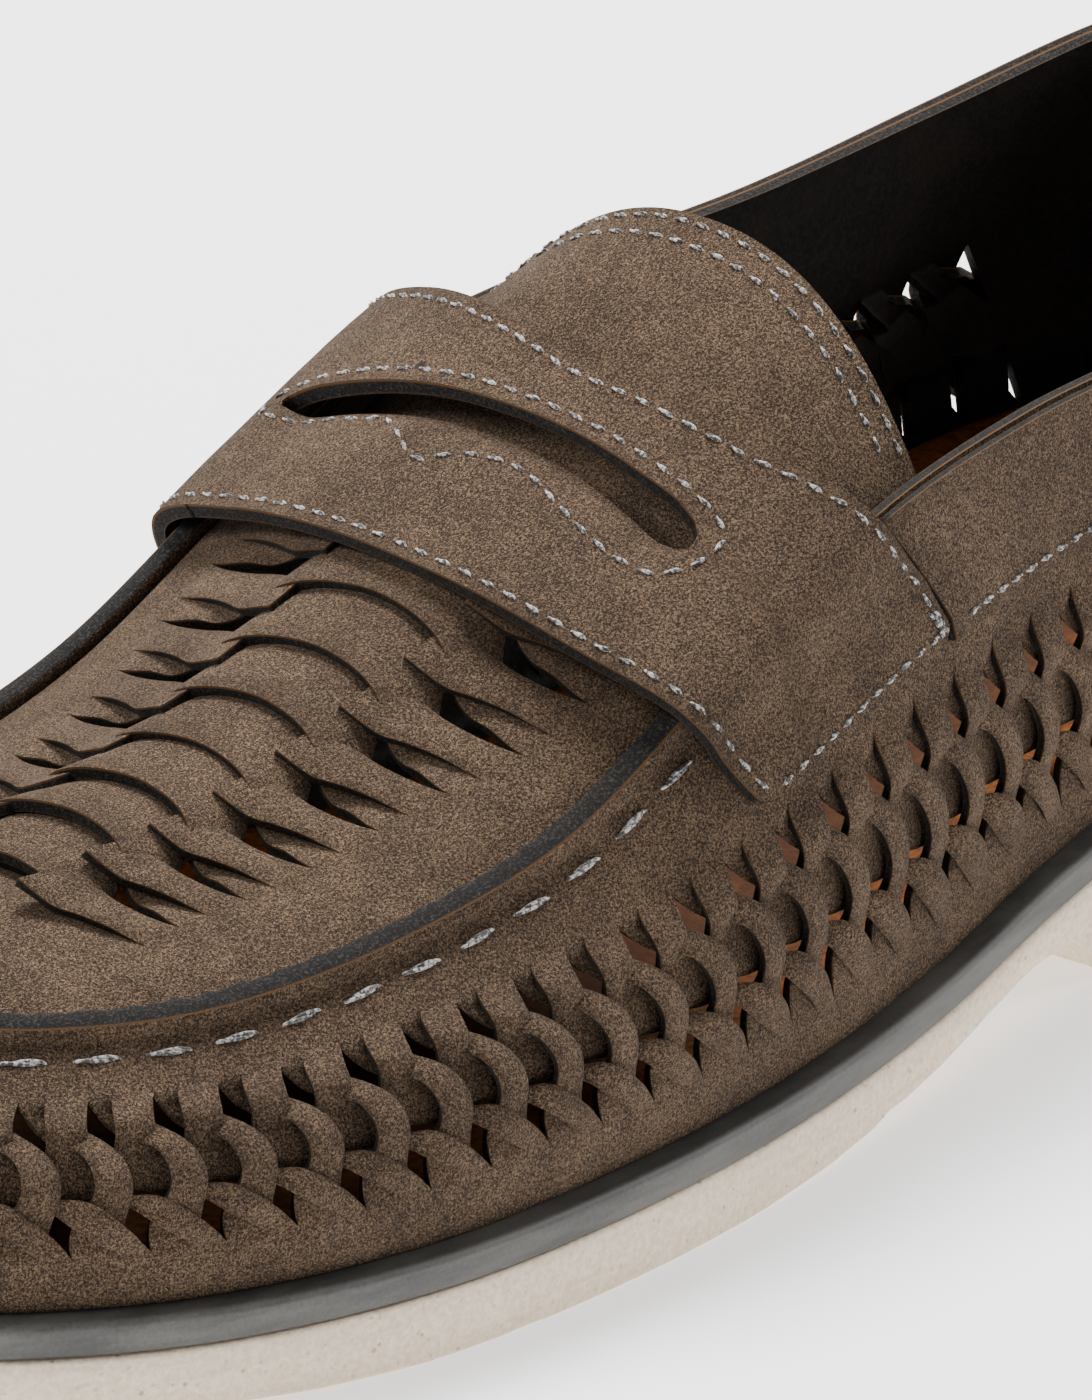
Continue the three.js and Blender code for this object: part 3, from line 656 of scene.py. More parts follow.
def nudged(table, sway, widen):
    """The same strip, widened, with a hand-made difference in its free middle part."""
    table = np.array(table, float)
    share = np.sin(np.linspace(0, math.pi, len(table))) ** 0.5
    table[1:-1, 0] -= (widen * share)[1:-1]
    table[1:-1, 3] += (widen * share)[1:-1]
    table[1:-1, 2] += (0.18 * sway[0] * share)[1:-1]
    table[1:-1, 5] += (0.18 * sway[1] * share)[1:-1]
    table[1:-1, [0, 3]] += (0.3 * sway[2] * share)[1:-1, None]
    table[1:-1, [1, 4]] += (0.010 * sway[3] * share)[1:-1, None]
    return table


def ribbon(sheet, place, table, rows, thickness, toward):
    """One strip of leather between two edges, crowned across, with rubbed nap and painted shade darkening
    its edges.
    """
    droop = 0.12
    path = smooth_table(table, rows)
    front, back = path[:, None, :3], path[:, None, 3:]
    edge = lerp(front, back, SHARES[None, :, None])
    fade = np.minimum(1, 5 * np.minimum(np.linspace(0, 1, rows), np.linspace(1, 0, rows)))[:, None]
    across = (2 * SHARES - 1)[None, :]
    rise = STRIP_CROWN * (1 - across**2) * fade - droop * (np.abs(across) > 0.9) * fade
    outer = place(edge[..., 0], edge[..., 1], edge[..., 2] + rise)
    rim = (np.abs(across) > 0.8) * fade
    sheet.grid(outer, thickness, rim, toward)


def side_weave(sheet, side, random):
    """Every strip of one side. One leaf more lies ahead of the first pair, and the last leaf stops short."""
    starts = weave_starts(side)
    widen = WIDEN_OUTER if side > 0 else WIDEN_INNER
    leaf = len(STRIP_B) - 6
    for number, start in enumerate(np.concatenate([[starts[0] - WEAVE_PITCH], starts])):
        def place(q, w, height):
            return weave_place(side, start, q, w, height)

        facing = outward(row_round(side * (start + 1.4 * WEAVE_PITCH)))
        sway = random.uniform(-1, 1, (2, 4))
        if number > 0:
            first = nudged(STRIP_A, sway[0], widen)
            ribbon(sheet, place, first, 2 * len(first) - 3, STRIP_LEATHER, facing)
        second = nudged(STRIP_B, sway[1], widen)
        turn = max(0.0, random.uniform(-0.4, 1.0)) * TURN
        second[leaf:-1, 5] += 1.3 * turn
        second[leaf:-1, 2] -= 0.9 * turn
        if number == 0:
            second[:leaf, [2, 5]] = -2.3
            second = second[6:]
        if number == len(starts):
            second = second[:12]
        ribbon(sheet, place, second, 2 * len(second) - 1, STRIP_LEATHER, facing)
    return starts


def wall_columns(side, starts):
    """Ring distances of the wall's columns at the lower and upper roots, and which lie in the weave."""
    low, high = [], []
    for start in starts:
        for top, bottom in ((TOP_A, LOW_A), (TOP_B, LOW_B)):
            high += list(start + lerp(*top, SHARES))
            low += list(start + lerp(*bottom, SHARES))
    front = np.linspace(0, 1, 7)[:-1]
    end = side_length(side)
    rear = np.linspace(0, 1, 15)[1:]
    low_all = np.concatenate([low[0] * front, low, lerp(low[-1], end, rear)])
    high_all = np.concatenate([high[0] * front, high, lerp(high[-1], end, rear)])
    woven = np.zeros(len(low_all), bool)
    woven[len(front):len(front) + len(low)] = True
    return low_all, high_all, woven


def wall_margins(sheet, side, starts):
    """Plain leather below and above the weave, and round the toe and heel."""
    low, high, woven = wall_columns(side, starts)
    row_low, row_high = row_round(side * low), row_round(side * high)
    v_low, v_high = weave_height(row_low, 0.0), weave_height(row_high, 1.0)

    def place(row, v):
        return wall(row, v) + wall_normal(row, np.clip(v, 0.02, 0.98)) * MARGIN_RAISE

    guide = outward(row_low)[None]
    lower = np.array([0, 0.25, 0.5, 0.75, 0.92, 1])[:, None]
    sheet.grid(place(row_low[None], v_low * lower), SHEET, (lower > 0.96) * woven, guide)
    upper = np.array([0, 0.08, 0.25, 0.5, 0.75, 0.93])[:, None]
    seam_edge(sheet, side, high, place(row_high[None], lerp(v_high[None], 0.985, upper)), guide)
    panel = np.linspace(0, 1, 9)[:, None]
    row = row_round(side * lerp(low, high, panel))
    v = weave_height(row, panel)
    row[0], row[-1], v[0], v[-1] = row_low, row_high, v_low, v_high
    points = place(row, v)
    first, last = np.argmax(woven), len(woven) - np.argmax(woven[::-1])
    sheet.grid(points[:, :first + 1], SHEET, 0, guide[:, :first + 1])
    sheet.grid(points[:, last - 1:], SHEET, 0, guide[:, last - 1:])


def seam_edge(sheet, side, distance, top, guide):
    """The wall's upper leather, from the rows in top. Along the vamp it stands up and shows a cut edge."""
    row = row_round(side * distance)
    rise = roll_share(row)[:, None]
    out = outward(row)
    crest = crown(row) + UP * lerp(MARGIN_RAISE, SEAM_RISE - 0.2, rise) + out * lerp(0.5, 1.3, rise)
    near = lerp(top[-1], crest, 0.55) + out * 0.2 * rise
    sheet.grid(np.concatenate([top, near[None], crest[None]]), SHEET, 0, guide)
    raw = np.array([0, 0.1, 0.3, 0.5, 0.7, 0.9, 1])[:, None, None]
    inner = crown(row) + UP * (SEAM_RISE + (0.7 if side > 0 else 0.0)) - out * 1.2
    ragged = 0.18 * np.sin(distance * 1.7) * np.sin(distance * 0.61)
    face = lerp(crest, inner, raw) + UP * (0.25 * np.sin(math.pi * raw) + ragged[None, :, None] * raw)
    fold = face[-1] - UP * (SEAM_RISE + 0.9) - out * 0.5
    along = np.nonzero(rise[:, 0] > 0)[0]
    sheet.grid(face[:, along], 1.2, 0, UP, core=lerp(0.13, 0.84, raw[..., 0]), slot=2)
    # The fold takes half the rim's darkening: partly rubbed nap, partly painted shade under the standing
    # seam.
    sheet.grid(np.stack([face[-1], lerp(face[-1], fold, 0.3), fold])[:, along], 0.8, 0.5, -out[along])


def roll_share(row):
    """1 where the seam stands up along the vamp, 0 behind the throat."""
    back = value("crown_back", np.abs(row)) * LENGTH
    return np.clip((THROAT + 6 - back) / 8, 0, 1)


# Vamp and plait. A place is (p, s): millimetres towards the heel from the arch's end, and share across.
PLAIT_PITCH = 9.6
PLAIT_LAST = 124.6  # end of the rear arch, from the toe
PLAIT_UNITS = 8
# Distance from the toe, and the plait's reach across there
PLAIT_SPREAD = [(40, 0.64), (60, 0.65), (70, 0.62), (90, 0.63),
                (100, 0.65), (109, 0.71), (118, 0.76), (136, 0.80)]
VAMP_FRONT = 27.3  # front edge, from the toe
SEAM_GAP = 1.8  # vamp's edge to the crown line
SEAM_DROP = 0.5  # vamp's edge below its plain leather
ARCH_LEATHER = 1.6
LEAF_LEATHER = 1.4
HALF_ARCH = [
    [-1.0, -1.00, 0.0, 3.0, -1.00, 0.0],
    [-1.3, -0.92, 0.0, 3.0, -0.92, -0.2],
    [-1.1, -0.80, -0.1, 3.2, -0.80, -0.8],
    [-0.9, -0.68, -0.6, 4.6, -0.68, -1.1],
    [-0.2, -0.58, 0.0, 6.6, -0.60, -1.0],
    [0.8, -0.51, 1.4, 9.0, -0.53, -0.6],
    [1.6, -0.45, 2.6, 12.0, -0.45, 0.2],
    [2.4, -0.35, 3.3, 14.6, -0.35, 1.0],
    [3.2, -0.20, 3.6, 16.2, -0.20, 1.5],
    [3.7, 0.00, 3.7, 16.8, 0.00, 1.6],
]
LEAF = [
    [-2.2, -0.37, 3.3, 2.8, -0.37, 2.6],
    [-1.9, -0.46, 2.5, 4.6, -0.46, 1.6],
    [-1.2, -0.57, 1.5, 5.6, -0.57, 0.8],
    [0.0, -0.68, 1.2, 5.7, -0.68, 0.6],
    [1.3, -0.81, 0.8, 6.5, -0.81, 0.3],
    [2.2, -0.92, 0.4, 7.6, -0.92, 0.1],
    [3.0, -1.00, 0.0, 8.6, -1.00, 0.0],
]
LEAF_LIFT = np.array([0.2, 0.8, 1, 0.9, 0.6, 0.3])  # how a loose leaf turns up, along its rows
ROOT_A, ROOT_B = (-1.0, 3.0), (3.0, 8.6)  # roots of arch and leaf, front edge to back edge


def mirrored(half):
    """A strip from one root over the middle to the other, from the rows of one half."""
    half = np.array(half, float)
    other = half[-2::-1].copy()
    other[:, [1, 4]] *= -1
    return np.vstack([half, other])


def spread(back):
    xs, ys = zip(*PLAIT_SPREAD)
    return np.interp(back, xs, ys)


def plait_place(end, p, s, height):
    back = np.minimum(end + p, THROAT + 5)
    point = apron(back, s * spread(back))
    return point + UP * (MARGIN_RAISE + np.asarray(height))[..., None]


def plait(sheet, random):
    """Every unit of the plait, heel to toe: an arch across and a leaf on each side."""
    ends = PLAIT_LAST - PLAIT_PITCH * np.arange(PLAIT_UNITS)
    for number, end in enumerate(ends):
        def place(p, s, height):
            return plait_place(end, p, s, height)

        arch = mirrored(HALF_ARCH)
        arch[:, [2, 5]] += 0.2 * random.uniform(-1, 1) * np.sin(np.linspace(0, math.pi, len(arch)))[:, None]
        if number == PLAIT_UNITS - 1:
            arch[:, 2] *= 0.4
        ribbon(sheet, place, arch, 55, ARCH_LEATHER, UP)
        for side in (1, -1):
            leaf = np.array(LEAF)
            leaf[:, [1, 4]] *= side
            lift = random.uniform(-0.3, 1)
            leaf[:-1, 2] += 0.4 * lift * LEAF_LIFT
            leaf[:-1, 5] += 0.2 * lift * LEAF_LIFT
            ribbon(sheet, place, leaf, 22, LEAF_LEATHER, UP)
    return ends


def vamp_margins(sheet, ends):
    """The plain leather round the plait, out to the seam."""
    roots = []
    for end in ends[::-1]:
        roots += list(end + lerp(*ROOT_A, SHARES)) + list(end + lerp(*ROOT_B, SHARES))
    roots = np.array(roots)
    across = np.linspace(0, 1, 6)[:, None]
    for side in (-1, 1):
        seam = side * (1 - SEAM_GAP / half_width(roots))[None]
        t = lerp(side * spread(roots)[None], seam, across)
        points = apron(np.broadcast_to(roots, t.shape), t)
        points += UP * (MARGIN_RAISE - SEAM_DROP * across**6)[..., None]
        sheet.grid(points, SHEET, (across < 0.01) * 1.0, UP)
    vamp_end(sheet, lerp(VAMP_FRONT, roots[0], np.linspace(0, 1, 26) ** 1.6), roots[0], 1)
    vamp_end(sheet, lerp(roots[-1], THROAT, np.linspace(0, 1, 3)), roots[-1], -1)


def vamp_end(sheet, backs, join, way):
    """Leather right across the vamp, with a flap from the join under the plait: way is 1 at the toe."""
    backs = backs[:, None]
    sides = np.linspace(-1, 1, 31)[None]
    edge = spread(backs)
    seam = 1 - np.minimum(0.6, SEAM_GAP / half_width(backs))
    inside = np.abs(sides) * 1.5
    t = np.sign(sides) * np.where(inside < 1, inside * edge, edge + (seam - edge) * (inside - 1) * 2)
    lift = MARGIN_RAISE - SEAM_DROP * (np.clip(inside - 1, 0, 0.5) * 2) ** 6
    points = apron(np.broadcast_to(backs, t.shape), t) + UP * np.broadcast_to(lift, t.shape)[..., None]
    flap_t = (t[-1:] if way > 0 else t[:1])[:, np.abs(sides[0]) < 0.62]
    flap = []
    for step, drop in ((0, 0), (2.5, -0.6), (6.0, -1.5)):
        back = np.full(flap_t.shape, join + way * step)
        flap.append(apron(back, flap_t) + UP * (MARGIN_RAISE + drop))
    sheet.grid(np.vstack(flap), SHEET, 0, UP)
    sheet.grid(points, SHEET, 0, UP)


def build_upper():
    sheet = Leather()
    random = np.random.default_rng(11)
    for side in (1, -1):
        starts = side_weave(sheet, side, random)
        wall_margins(sheet, side, starts)
    ends = plait(sheet, random)
    vamp_margins(sheet, ends)
    return sheet.mesh("upper_leather", LEATHERS)


# Strap. A place is (back, s): millimetres from the toe, and share from -1 at the outer end to 1.
STRAP_EDGES = {
    "front": smooth_table([[-1.1, 135.2], [-0.94, 132.6], [-0.75, 129.8], [-0.6, 126.8], [-0.36, 123.4],
                           [-0.11, 122.4], [0.17, 123.4], [0.4, 125.6], [0.66, 128.2], [0.85, 131.5],
                           [1.1, 135.6]], 200),
    "rear": smooth_table([[-1.1, 171.6], [-0.94, 169.0], [-0.8, 166.6], [-0.6, 160.2], [-0.37, 153.8],
                          [-0.1, 151.4], [0.07, 152.8], [0.24, 155.6], [0.5, 161.8], [0.66, 166.4],
                          [0.85, 170.8], [1.1, 175.0]], 200),
}
STRAP_LOW = 0.7  # height on the wall at s = 1
STRAP_REACH = 1.04  # s at the strap's ends
STRAP_CORNER = 5.0  # rounding of its corners


def strap_edge(edge, s):
    """How far back the strap's front or rear edge lies at a share of its length."""
    return np.interp(s, STRAP_EDGES[edge][:, 0], STRAP_EDGES[edge][:, 1])


def centripetal(points, t):
    """A centripetal Catmull-Rom curve through points (..., n, 3) at t from 0 to 1."""
    count = points.shape[-2]
    place = (count - 1) * t
    first = np.clip(place.astype(int), 0, count - 2)
    w = (place - first)[..., None]
    padded = np.concatenate([2 * points[..., :1, :] - points[..., 1:2, :], points,
                             2 * points[..., -1:, :] - points[..., -2:-1, :]], -2)
    a, b, c, d = (np.take_along_axis(padded, (first + k)[..., None, None], -2)[..., 0, :] for k in range(4))
    gaps = []
    for step in (b - a, c - b, d - c):
        gaps.append(np.maximum(np.linalg.norm(step, axis=-1, keepdims=True), 1e-6) ** 0.5)
    one, two, three = gaps
    first_run = ((b - a) / one - (c - a) / (one + two) + (c - b) / two) * two
    last_run = ((c - b) / two - (d - b) / (two + three) + (d - c) / three) * two
    cube = 2 * b - 2 * c + first_run + last_run
    square = -3 * b + 3 * c - 2 * first_run - last_run
    return b + first_run * w + square * w**2 + cube * w**3


def strap_under(back, s):
    """The strap's lower face: over the vamp, over the raised seam and down the wall."""
    back, s = np.broadcast_arrays(np.asarray(back, float), np.asarray(s, float))
    row = row_at(back)
    side = np.where(s < 0, 1.0, -1.0)
    signed = side * row
    out = outward(signed)
    top = crown(signed) + UP * (SEAM_RISE + 0.6) + out * 2

    def on_wall(v):
        return wall(signed, v) + wall_normal(signed, v) * (MARGIN_RAISE + FIT + 1.5 * (v - STRAP_LOW))

    def on_vamp(share):
        return vamp(row, -row, -side * share) + UP * STRAP_LIFT

    knots = [on_vamp(-0.35), on_vamp(0.0), on_vamp(0.35), on_vamp(0.72), top,
             on_wall(0.86), on_wall(STRAP_LOW)]
    return centripetal(np.stack(knots, -2), 1 / 6 + 5 / 6 * np.abs(s))


# Share along the strap, front edge and rear edge of the slot there
SLOT = np.array([[-0.42, 141.6, 141.6], [-0.417, 140.9, 142.6], [-0.40, 140.4, 143.4], [-0.36, 140.5, 143.7],
                 [-0.28, 141.1, 143.6], [-0.16, 141.9, 143.7], [0.0, 142.4, 143.8], [0.2, 142.5, 143.9],
                 [0.4, 142.4, 144.0], [0.48, 142.5, 143.9], [0.505, 142.7, 143.6], [0.51, 143.1, 143.1]])
LIP_REACH = 3.6


def slot_edges(s):
    """Front and rear edge of the slot at a share of the strap's length."""
    return np.interp(s, SLOT[:, 0], SLOT[:, 1]), np.interp(s, SLOT[:, 0], SLOT[:, 2])


def slot_lift(back, s):
    """The lip in front of the slot dips under the lip behind it."""
    near, far = slot_edges(s)
    middle = (near + far) / 2
    fade = np.clip((s + 0.44) / 0.1, 0, 1) * np.clip((0.53 - s) / 0.1, 0, 1)
    fade = fade * fade * (3 - 2 * fade)
    dip = -2.1 * np.exp(-np.maximum(near - back, 0) / LIP_REACH)
    rise = 0.9 * np.exp(-np.maximum(back - far, 0) / LIP_REACH)
    return fade * np.where(back < middle, dip, rise)


def build_strap():
    sheet = Leather()
    s = np.unique(np.concatenate([np.linspace(-STRAP_REACH, STRAP_REACH, 141), SLOT[:, 0],
                                  np.linspace(-0.44, -0.38, 9), np.linspace(0.48, 0.53, 7)]))
    front, rear = strap_edge("front", s), strap_edge("rear", s)
    corner = STRAP_CORNER * np.clip((np.abs(s) - STRAP_REACH + 0.06) / 0.06, 0, 1) ** 2.5
    front, rear = front + corner, rear - corner * 0.6
    near, far = slot_edges(s)
    share = np.array([0, 0.03, 0.15, 0.35, 0.55, 0.75, 0.9, 0.97, 1])[:, None]
    rim = (np.abs(share - 0.5) > 0.46) * 1.0
    for low, high in ((front, near), (far, rear)):
        back = lerp(low, high, share)
        sheet.grid(strap_outer(back, s), STRAP, rim, UP)
    return sheet.mesh("strap_leather", LEATHERS)


def strap_outer(back, s):
    """The strap's top face."""
    back, s = np.broadcast_arrays(np.asarray(back, float), np.asarray(s, float))
    along_back = strap_under(back + 0.5, s) - strap_under(back - 0.5, s)
    along_s = strap_under(back, s + 0.01) - strap_under(back, s - 0.01)
    normal = unit(np.cross(along_s, along_back))
    guide = outward(np.where(s < 0, 1, -1) * row_at(back)) + UP
    top = strap_under(back, s) + turned_to(normal, guide) * STRAP
    return top + UP * slot_lift(back, s)[..., None]


# Tongue
TONGUE_TIP = 0.59 * LENGTH
TONGUE_SIDE = 0.588 * LENGTH
TONGUE_INSET = 0.8


def tongue_end(t):
    """How far back the tongue reaches."""
    return lerp(TONGUE_TIP, TONGUE_SIDE, np.abs(t) ** 2.4)


def tongue_place(share, t):
    """A point of the tongue's top: share from the throat to its rear edge, t across."""
    back = lerp(THROAT + 2 * FIT, tongue_end(t), share)
    row = row_at(back)
    width = 1 - (LEATHER + lerp(2.6, TONGUE_INSET, share)) / half_width(back)
    p = vamp(row, -row, t * width)
    p[..., 2] -= 3.5 * np.abs(t) ** 4
    return p


def build_tongue():
    sheet = Leather()
    share = np.concatenate([np.linspace(0, 0.97, 24), [0.988, 1]])[:, None]
    t = np.concatenate([[-1, -0.985], np.linspace(-0.95, 0.95, 39), [0.985, 1]])[None]
    share, t = np.broadcast_arrays(share, t)
    rim = np.maximum(share > 0.99, np.abs(t) > 0.99) * 1.0
    sheet.grid(tongue_place(share, t), TONGUE, rim, UP)
    return sheet.mesh("tongue_leather", LEATHERS)


# Collar band
BAND_LOW = 0.65  # lower edge, as a share of the wall's height
BAND_START = (0.543, 0.568)  # ends behind the strap, at the topline and lower down


def band_place(turn, v):
    """A point of the band: turn from -1 at the outer strap end, round the heel, to 1 at the inner end."""
    turn, v = np.broadcast_arrays(np.asarray(turn, float), np.asarray(v, float))
    side = np.where(turn < 0, 1, -1)
    strap_share = np.clip((1 - v) / (1 - STRAP_LOW), 0, 1)
    start = lerp(*BAND_START, strap_share) * LENGTH + 1.2
    row = lerp(HEEL_ROW, row_at(start), np.abs(turn)) * side
    return wall(row, v) + wall_normal(row, np.minimum(v, 0.98)) * (MARGIN_RAISE + FIT + COLLAR_BAND)


def band_outward(turn):
    """The level direction away from the shoe along the band."""
    return outward(lerp(HEEL_ROW, 9, np.abs(turn)) * np.where(turn < 0, 1, -1))


def build_band():
    sheet = Leather()
    turn = np.linspace(-1, 1, 161)[None]
    v = np.array([BAND_LOW, 0.658, 0.70, 0.76, 0.83, 0.90, 0.96, 1.0])[:, None]
    rim = (np.abs(v - 0.825) > 0.165) * np.ones_like(turn)
    sheet.grid(band_place(turn, v), COLLAR_BAND, rim, band_outward(turn))
    return sheet.mesh("collar_band_leather", LEATHERS)


# Sole. Every ring follows the feather line, some way out from it and at a height of its own.
PLATE_ROWS = np.concatenate([[0, 0.12, 0.3, 0.5, 0.75], np.arange(1, 13.3, 0.125),
                             [13.4, 13.6, 13.75, 13.88, 14]])
SOLE_ROWS = np.concatenate([PLATE_ROWS, -PLATE_ROWS[-2:0:-1]])
SOLE_BACK = value("back", np.abs(SOLE_ROWS))
FEATHER, SOLE_OUT = foot(SOLE_ROWS), outward(SOLE_ROWS)
# Share of the length, and share of TREAD_RISE that the tread stands off the floor there
TREAD = [(0, 1), (0.1, 0.42), (0.2, 0.08), (0.25, 0), (0.43, 0), (0.5, 0.12), (0.56, 0.45), (0.63, 1),
         (0.67, 1), (0.69, 0), (0.95, 0), (1, 0.2)]
TREAD_RISE = 7.5
HEEL_PAD = 6.5


def sole_ring(out, height):
    ring = FEATHER + SOLE_OUT * out
    ring[:, 2] = height
    return ring


def lofted(name, rings, material, **attributes):
    """A closed body through rings of points from the top down, capped flat across the shoe."""
    count = len(rings[0])
    faces = []
    for k in range(len(rings) - 1):
        for i in range(count):
            j = (i + 1) % count
            faces.append([k * count + i, (k + 1) * count + i, (k + 1) * count + j, k * count + j])
    for base, up in ((0, True), ((len(rings) - 1) * count, False)):
        for a in range(count // 2):
            b = a + 1
            quad = [base + k for k in (a, b, (count - b) % count, (count - a) % count)]
            quad = list(dict.fromkeys(quad))
            if len(quad) > 2:
                faces.append(quad if up else quad[::-1])
    return make_piece(name, np.vstack(rings), faces, [material], [0] * len(faces), attributes)


def build_midsole():
    top = FEATHER[:, 2] - FIT
    rings = []
    for out, drop in ((-6, 0), (0.8, 0), (LEDGE - 0.9, 0.05), (LEDGE - 0.25, 0.3), (LEDGE, 0.9),
                      (LEDGE, MIDSOLE - 0.5), (LEDGE - 0.3, MIDSOLE - 0.1), (LEDGE - 0.9, MIDSOLE)):
        rings.append(sole_ring(out, top - drop))
    return lofted("midsole_rubber", rings, DARK_RUBBER)


def build_outsole():
    """Crepe, with small nicks along its lower edge."""
    random = np.random.default_rng(5)
    top = FEATHER[:, 2] - FIT - MIDSOLE - FIT
    low = TREAD_RISE * np.interp(np.clip(SOLE_BACK, 0, 1), *zip(*TREAD))
    nick = np.clip(random.normal(0, 1, len(SOLE_ROWS)) - 1.0, 0, 1.2)
    rings = []
    for out, share, cut in ((-6, 0, 0), (LEDGE - 0.6, 0, 0), (LEDGE - 0.1, 0.06, 0), (LEDGE, 0.5, 0),
                            (LEDGE, 0.93, 0.3), (LEDGE - 0.4, 1.0, 1.0), (-6, 1.0, 0)):
        ring = sole_ring(out, lerp(top, low, share) + nick * cut * 0.5)
        rings.append(ring - SOLE_OUT * (nick * cut * 0.6)[:, None])
    return lofted("outsole_rubber", rings, CREPE)


def build_insole():
    """A thin board with a raised heel pad and a darker middle."""
    inset = LEATHER + FIT + 1.2
    heel = np.clip((SOLE_BACK - 0.5) / 0.25, 0, 1)
    pad = HEEL_PAD * heel * heel * (3 - 2 * heel)
    rings = []
    for out, rise, lift in ((-inset - 16, INSOLE - 0.6, 1), (-inset - 8, INSOLE - 0.4, 1),
                            (-inset - 2, INSOLE - 0.1, 1), (-inset - 0.4, INSOLE - 0.3, 0.95),
                            (-inset, INSOLE - 1.0, 0.8), (-inset, 0, 0)):
        rings.append(sole_ring(out, FEATHER[:, 2] + rise + pad * lift))
    shade = np.repeat([1.0, 0.4, 0, 0, 0, 0], len(SOLE_ROWS))
    return lofted("insole_leather", rings, TAN, shade=shade)


# Stitches: one tree sets a stitch on every point of a line, lying along the line
def stitch_tree():
    """A stitch lies along its point's run with its top towards the point's up, turned a little at random."""
    tree = bpy.data.node_groups.new("stitches_along_a_line", "GeometryNodeTree")
    for name, kind in (("Line", "Geometry"), ("Stitch", "Object"), ("Length", "Float"),
                       ("Thickness", "Float"), ("Sway", "Float"), ("Finish", "Material")):
        tree.interface.new_socket(name, in_out="INPUT", socket_type="NodeSocket" + kind)
    tree.interface.new_socket("Stitches", in_out="OUTPUT", socket_type="NodeSocketGeometry")

    def node(kind, entries, output=0, **settings):
        made = tree.nodes.new(kind)
        for key, entry in settings.items():
            setattr(made, key, entry)
        for key, entry in entries.items():
            if isinstance(entry, bpy.types.NodeSocket):
                tree.links.new(entry, made.inputs[key])
            else:
                made.inputs[key].default_value = entry
        return made.outputs[output]

    def named(name):
        return node("GeometryNodeInputNamedAttribute", {"Name": name}, "Attribute", data_type="FLOAT_VECTOR")

    start = tree.nodes.new("NodeGroupInput").outputs
    lie = node("FunctionNodeAlignRotationToVector", {"Vector": named("run")}, axis="X")
    stand = node("FunctionNodeAlignRotationToVector", {"Rotation": lie, "Vector": named("up")},
                 axis="Z", pivot_axis="X")
    chance = node("FunctionNodeRandomValue", {"Seed": 3}, 1, data_type="FLOAT")
    turn = node("ShaderNodeMath", {0: chance, 1: 2.0, 2: -1.0}, operation="MULTIPLY_ADD")
    turn = node("ShaderNodeMath", {0: turn, 1: start["Sway"]}, operation="MULTIPLY")
    spin = node("FunctionNodeEulerToRotation", {0: node("ShaderNodeCombineXYZ", {"Z": turn})})
    rotation = node("FunctionNodeRotateRotation", {0: stand, 1: spin}, rotation_space="LOCAL")
    thick = start["Thickness"]
    size = node("ShaderNodeCombineXYZ", {"X": start["Length"], "Y": thick, "Z": thick})
    shape = node("GeometryNodeObjectInfo", {"Object": start["Stitch"]}, "Geometry")
    placed = node("GeometryNodeInstanceOnPoints", {"Points": start["Line"], "Instance": shape,
                                                   "Rotation": rotation, "Scale": size})
    real = node("GeometryNodeRealizeInstances", {0: placed})
    dressed = node("GeometryNodeSetMaterial", {"Geometry": real, "Material": start["Finish"]})
    tree.links.new(dressed, tree.nodes.new("NodeGroupOutput").inputs[0])
    return tree


def stitch_shape():
    """Two plies laid side by side with a slight twist, one unit long, half sunk at both ends."""
    points, faces = [], []
    steps, sides = 6, 5
    for ply in (0, 1):
        base = len(points)
        for i in range(steps + 1):
            x = i / steps - 0.5
            swell = math.sqrt(max(0.06, 1 - (2 * x) ** 4))
            angle = math.pi * (ply + 1.5 * x)
            cy, cz = 0.24 * math.cos(angle), 0.24 * math.sin(angle)
            sink = -1.0 * (2 * x) ** 4
            for j in range(sides):
                a = 2 * math.pi * j / sides
                points.append((x, cy + 0.3 * swell * math.cos(a), cz + 0.3 * swell * math.sin(a) + sink))
        for i in range(steps):
            for j in range(sides):
                k = (j + 1) % sides
                faces.append([base + i * sides + j, base + i * sides + k,
                              base + (i + 1) * sides + k, base + (i + 1) * sides + j])
        faces.append([base + j for j in range(sides)][::-1])
        faces.append([base + steps * sides + j for j in range(sides)])
    mesh = bpy.data.meshes.new("stitch_shape")
    mesh.from_pydata(points, [], [f[::-1] for f in faces])
    mesh.polygons.foreach_set("use_smooth", [True] * len(mesh.polygons))
    shape = bpy.data.objects.new("stitch_shape", mesh)
    bpy.context.scene.collection.objects.link(shape)
    return shape


def between(places, far, points):
    """Points of a path at places along it, where far says how far along each of its points lies."""
    return np.stack([np.interp(places, far, points[:, k]) for k in range(3)], -1)


def resampled(path, pitch):
    """Points a pitch apart along a path, the path's direction there, and their share of its length."""
    far = np.concatenate([[0], np.cumsum(np.linalg.norm(np.diff(path, axis=0), axis=1))])
    count = max(2, int(round(far[-1] / pitch)))
    places = (np.arange(count) + 0.5) * far[-1] / count
    run = between(places + 0.3, far, path) - between(places - 0.3, far, path)
    return between(places, far, path), unit(run), places / far[-1]


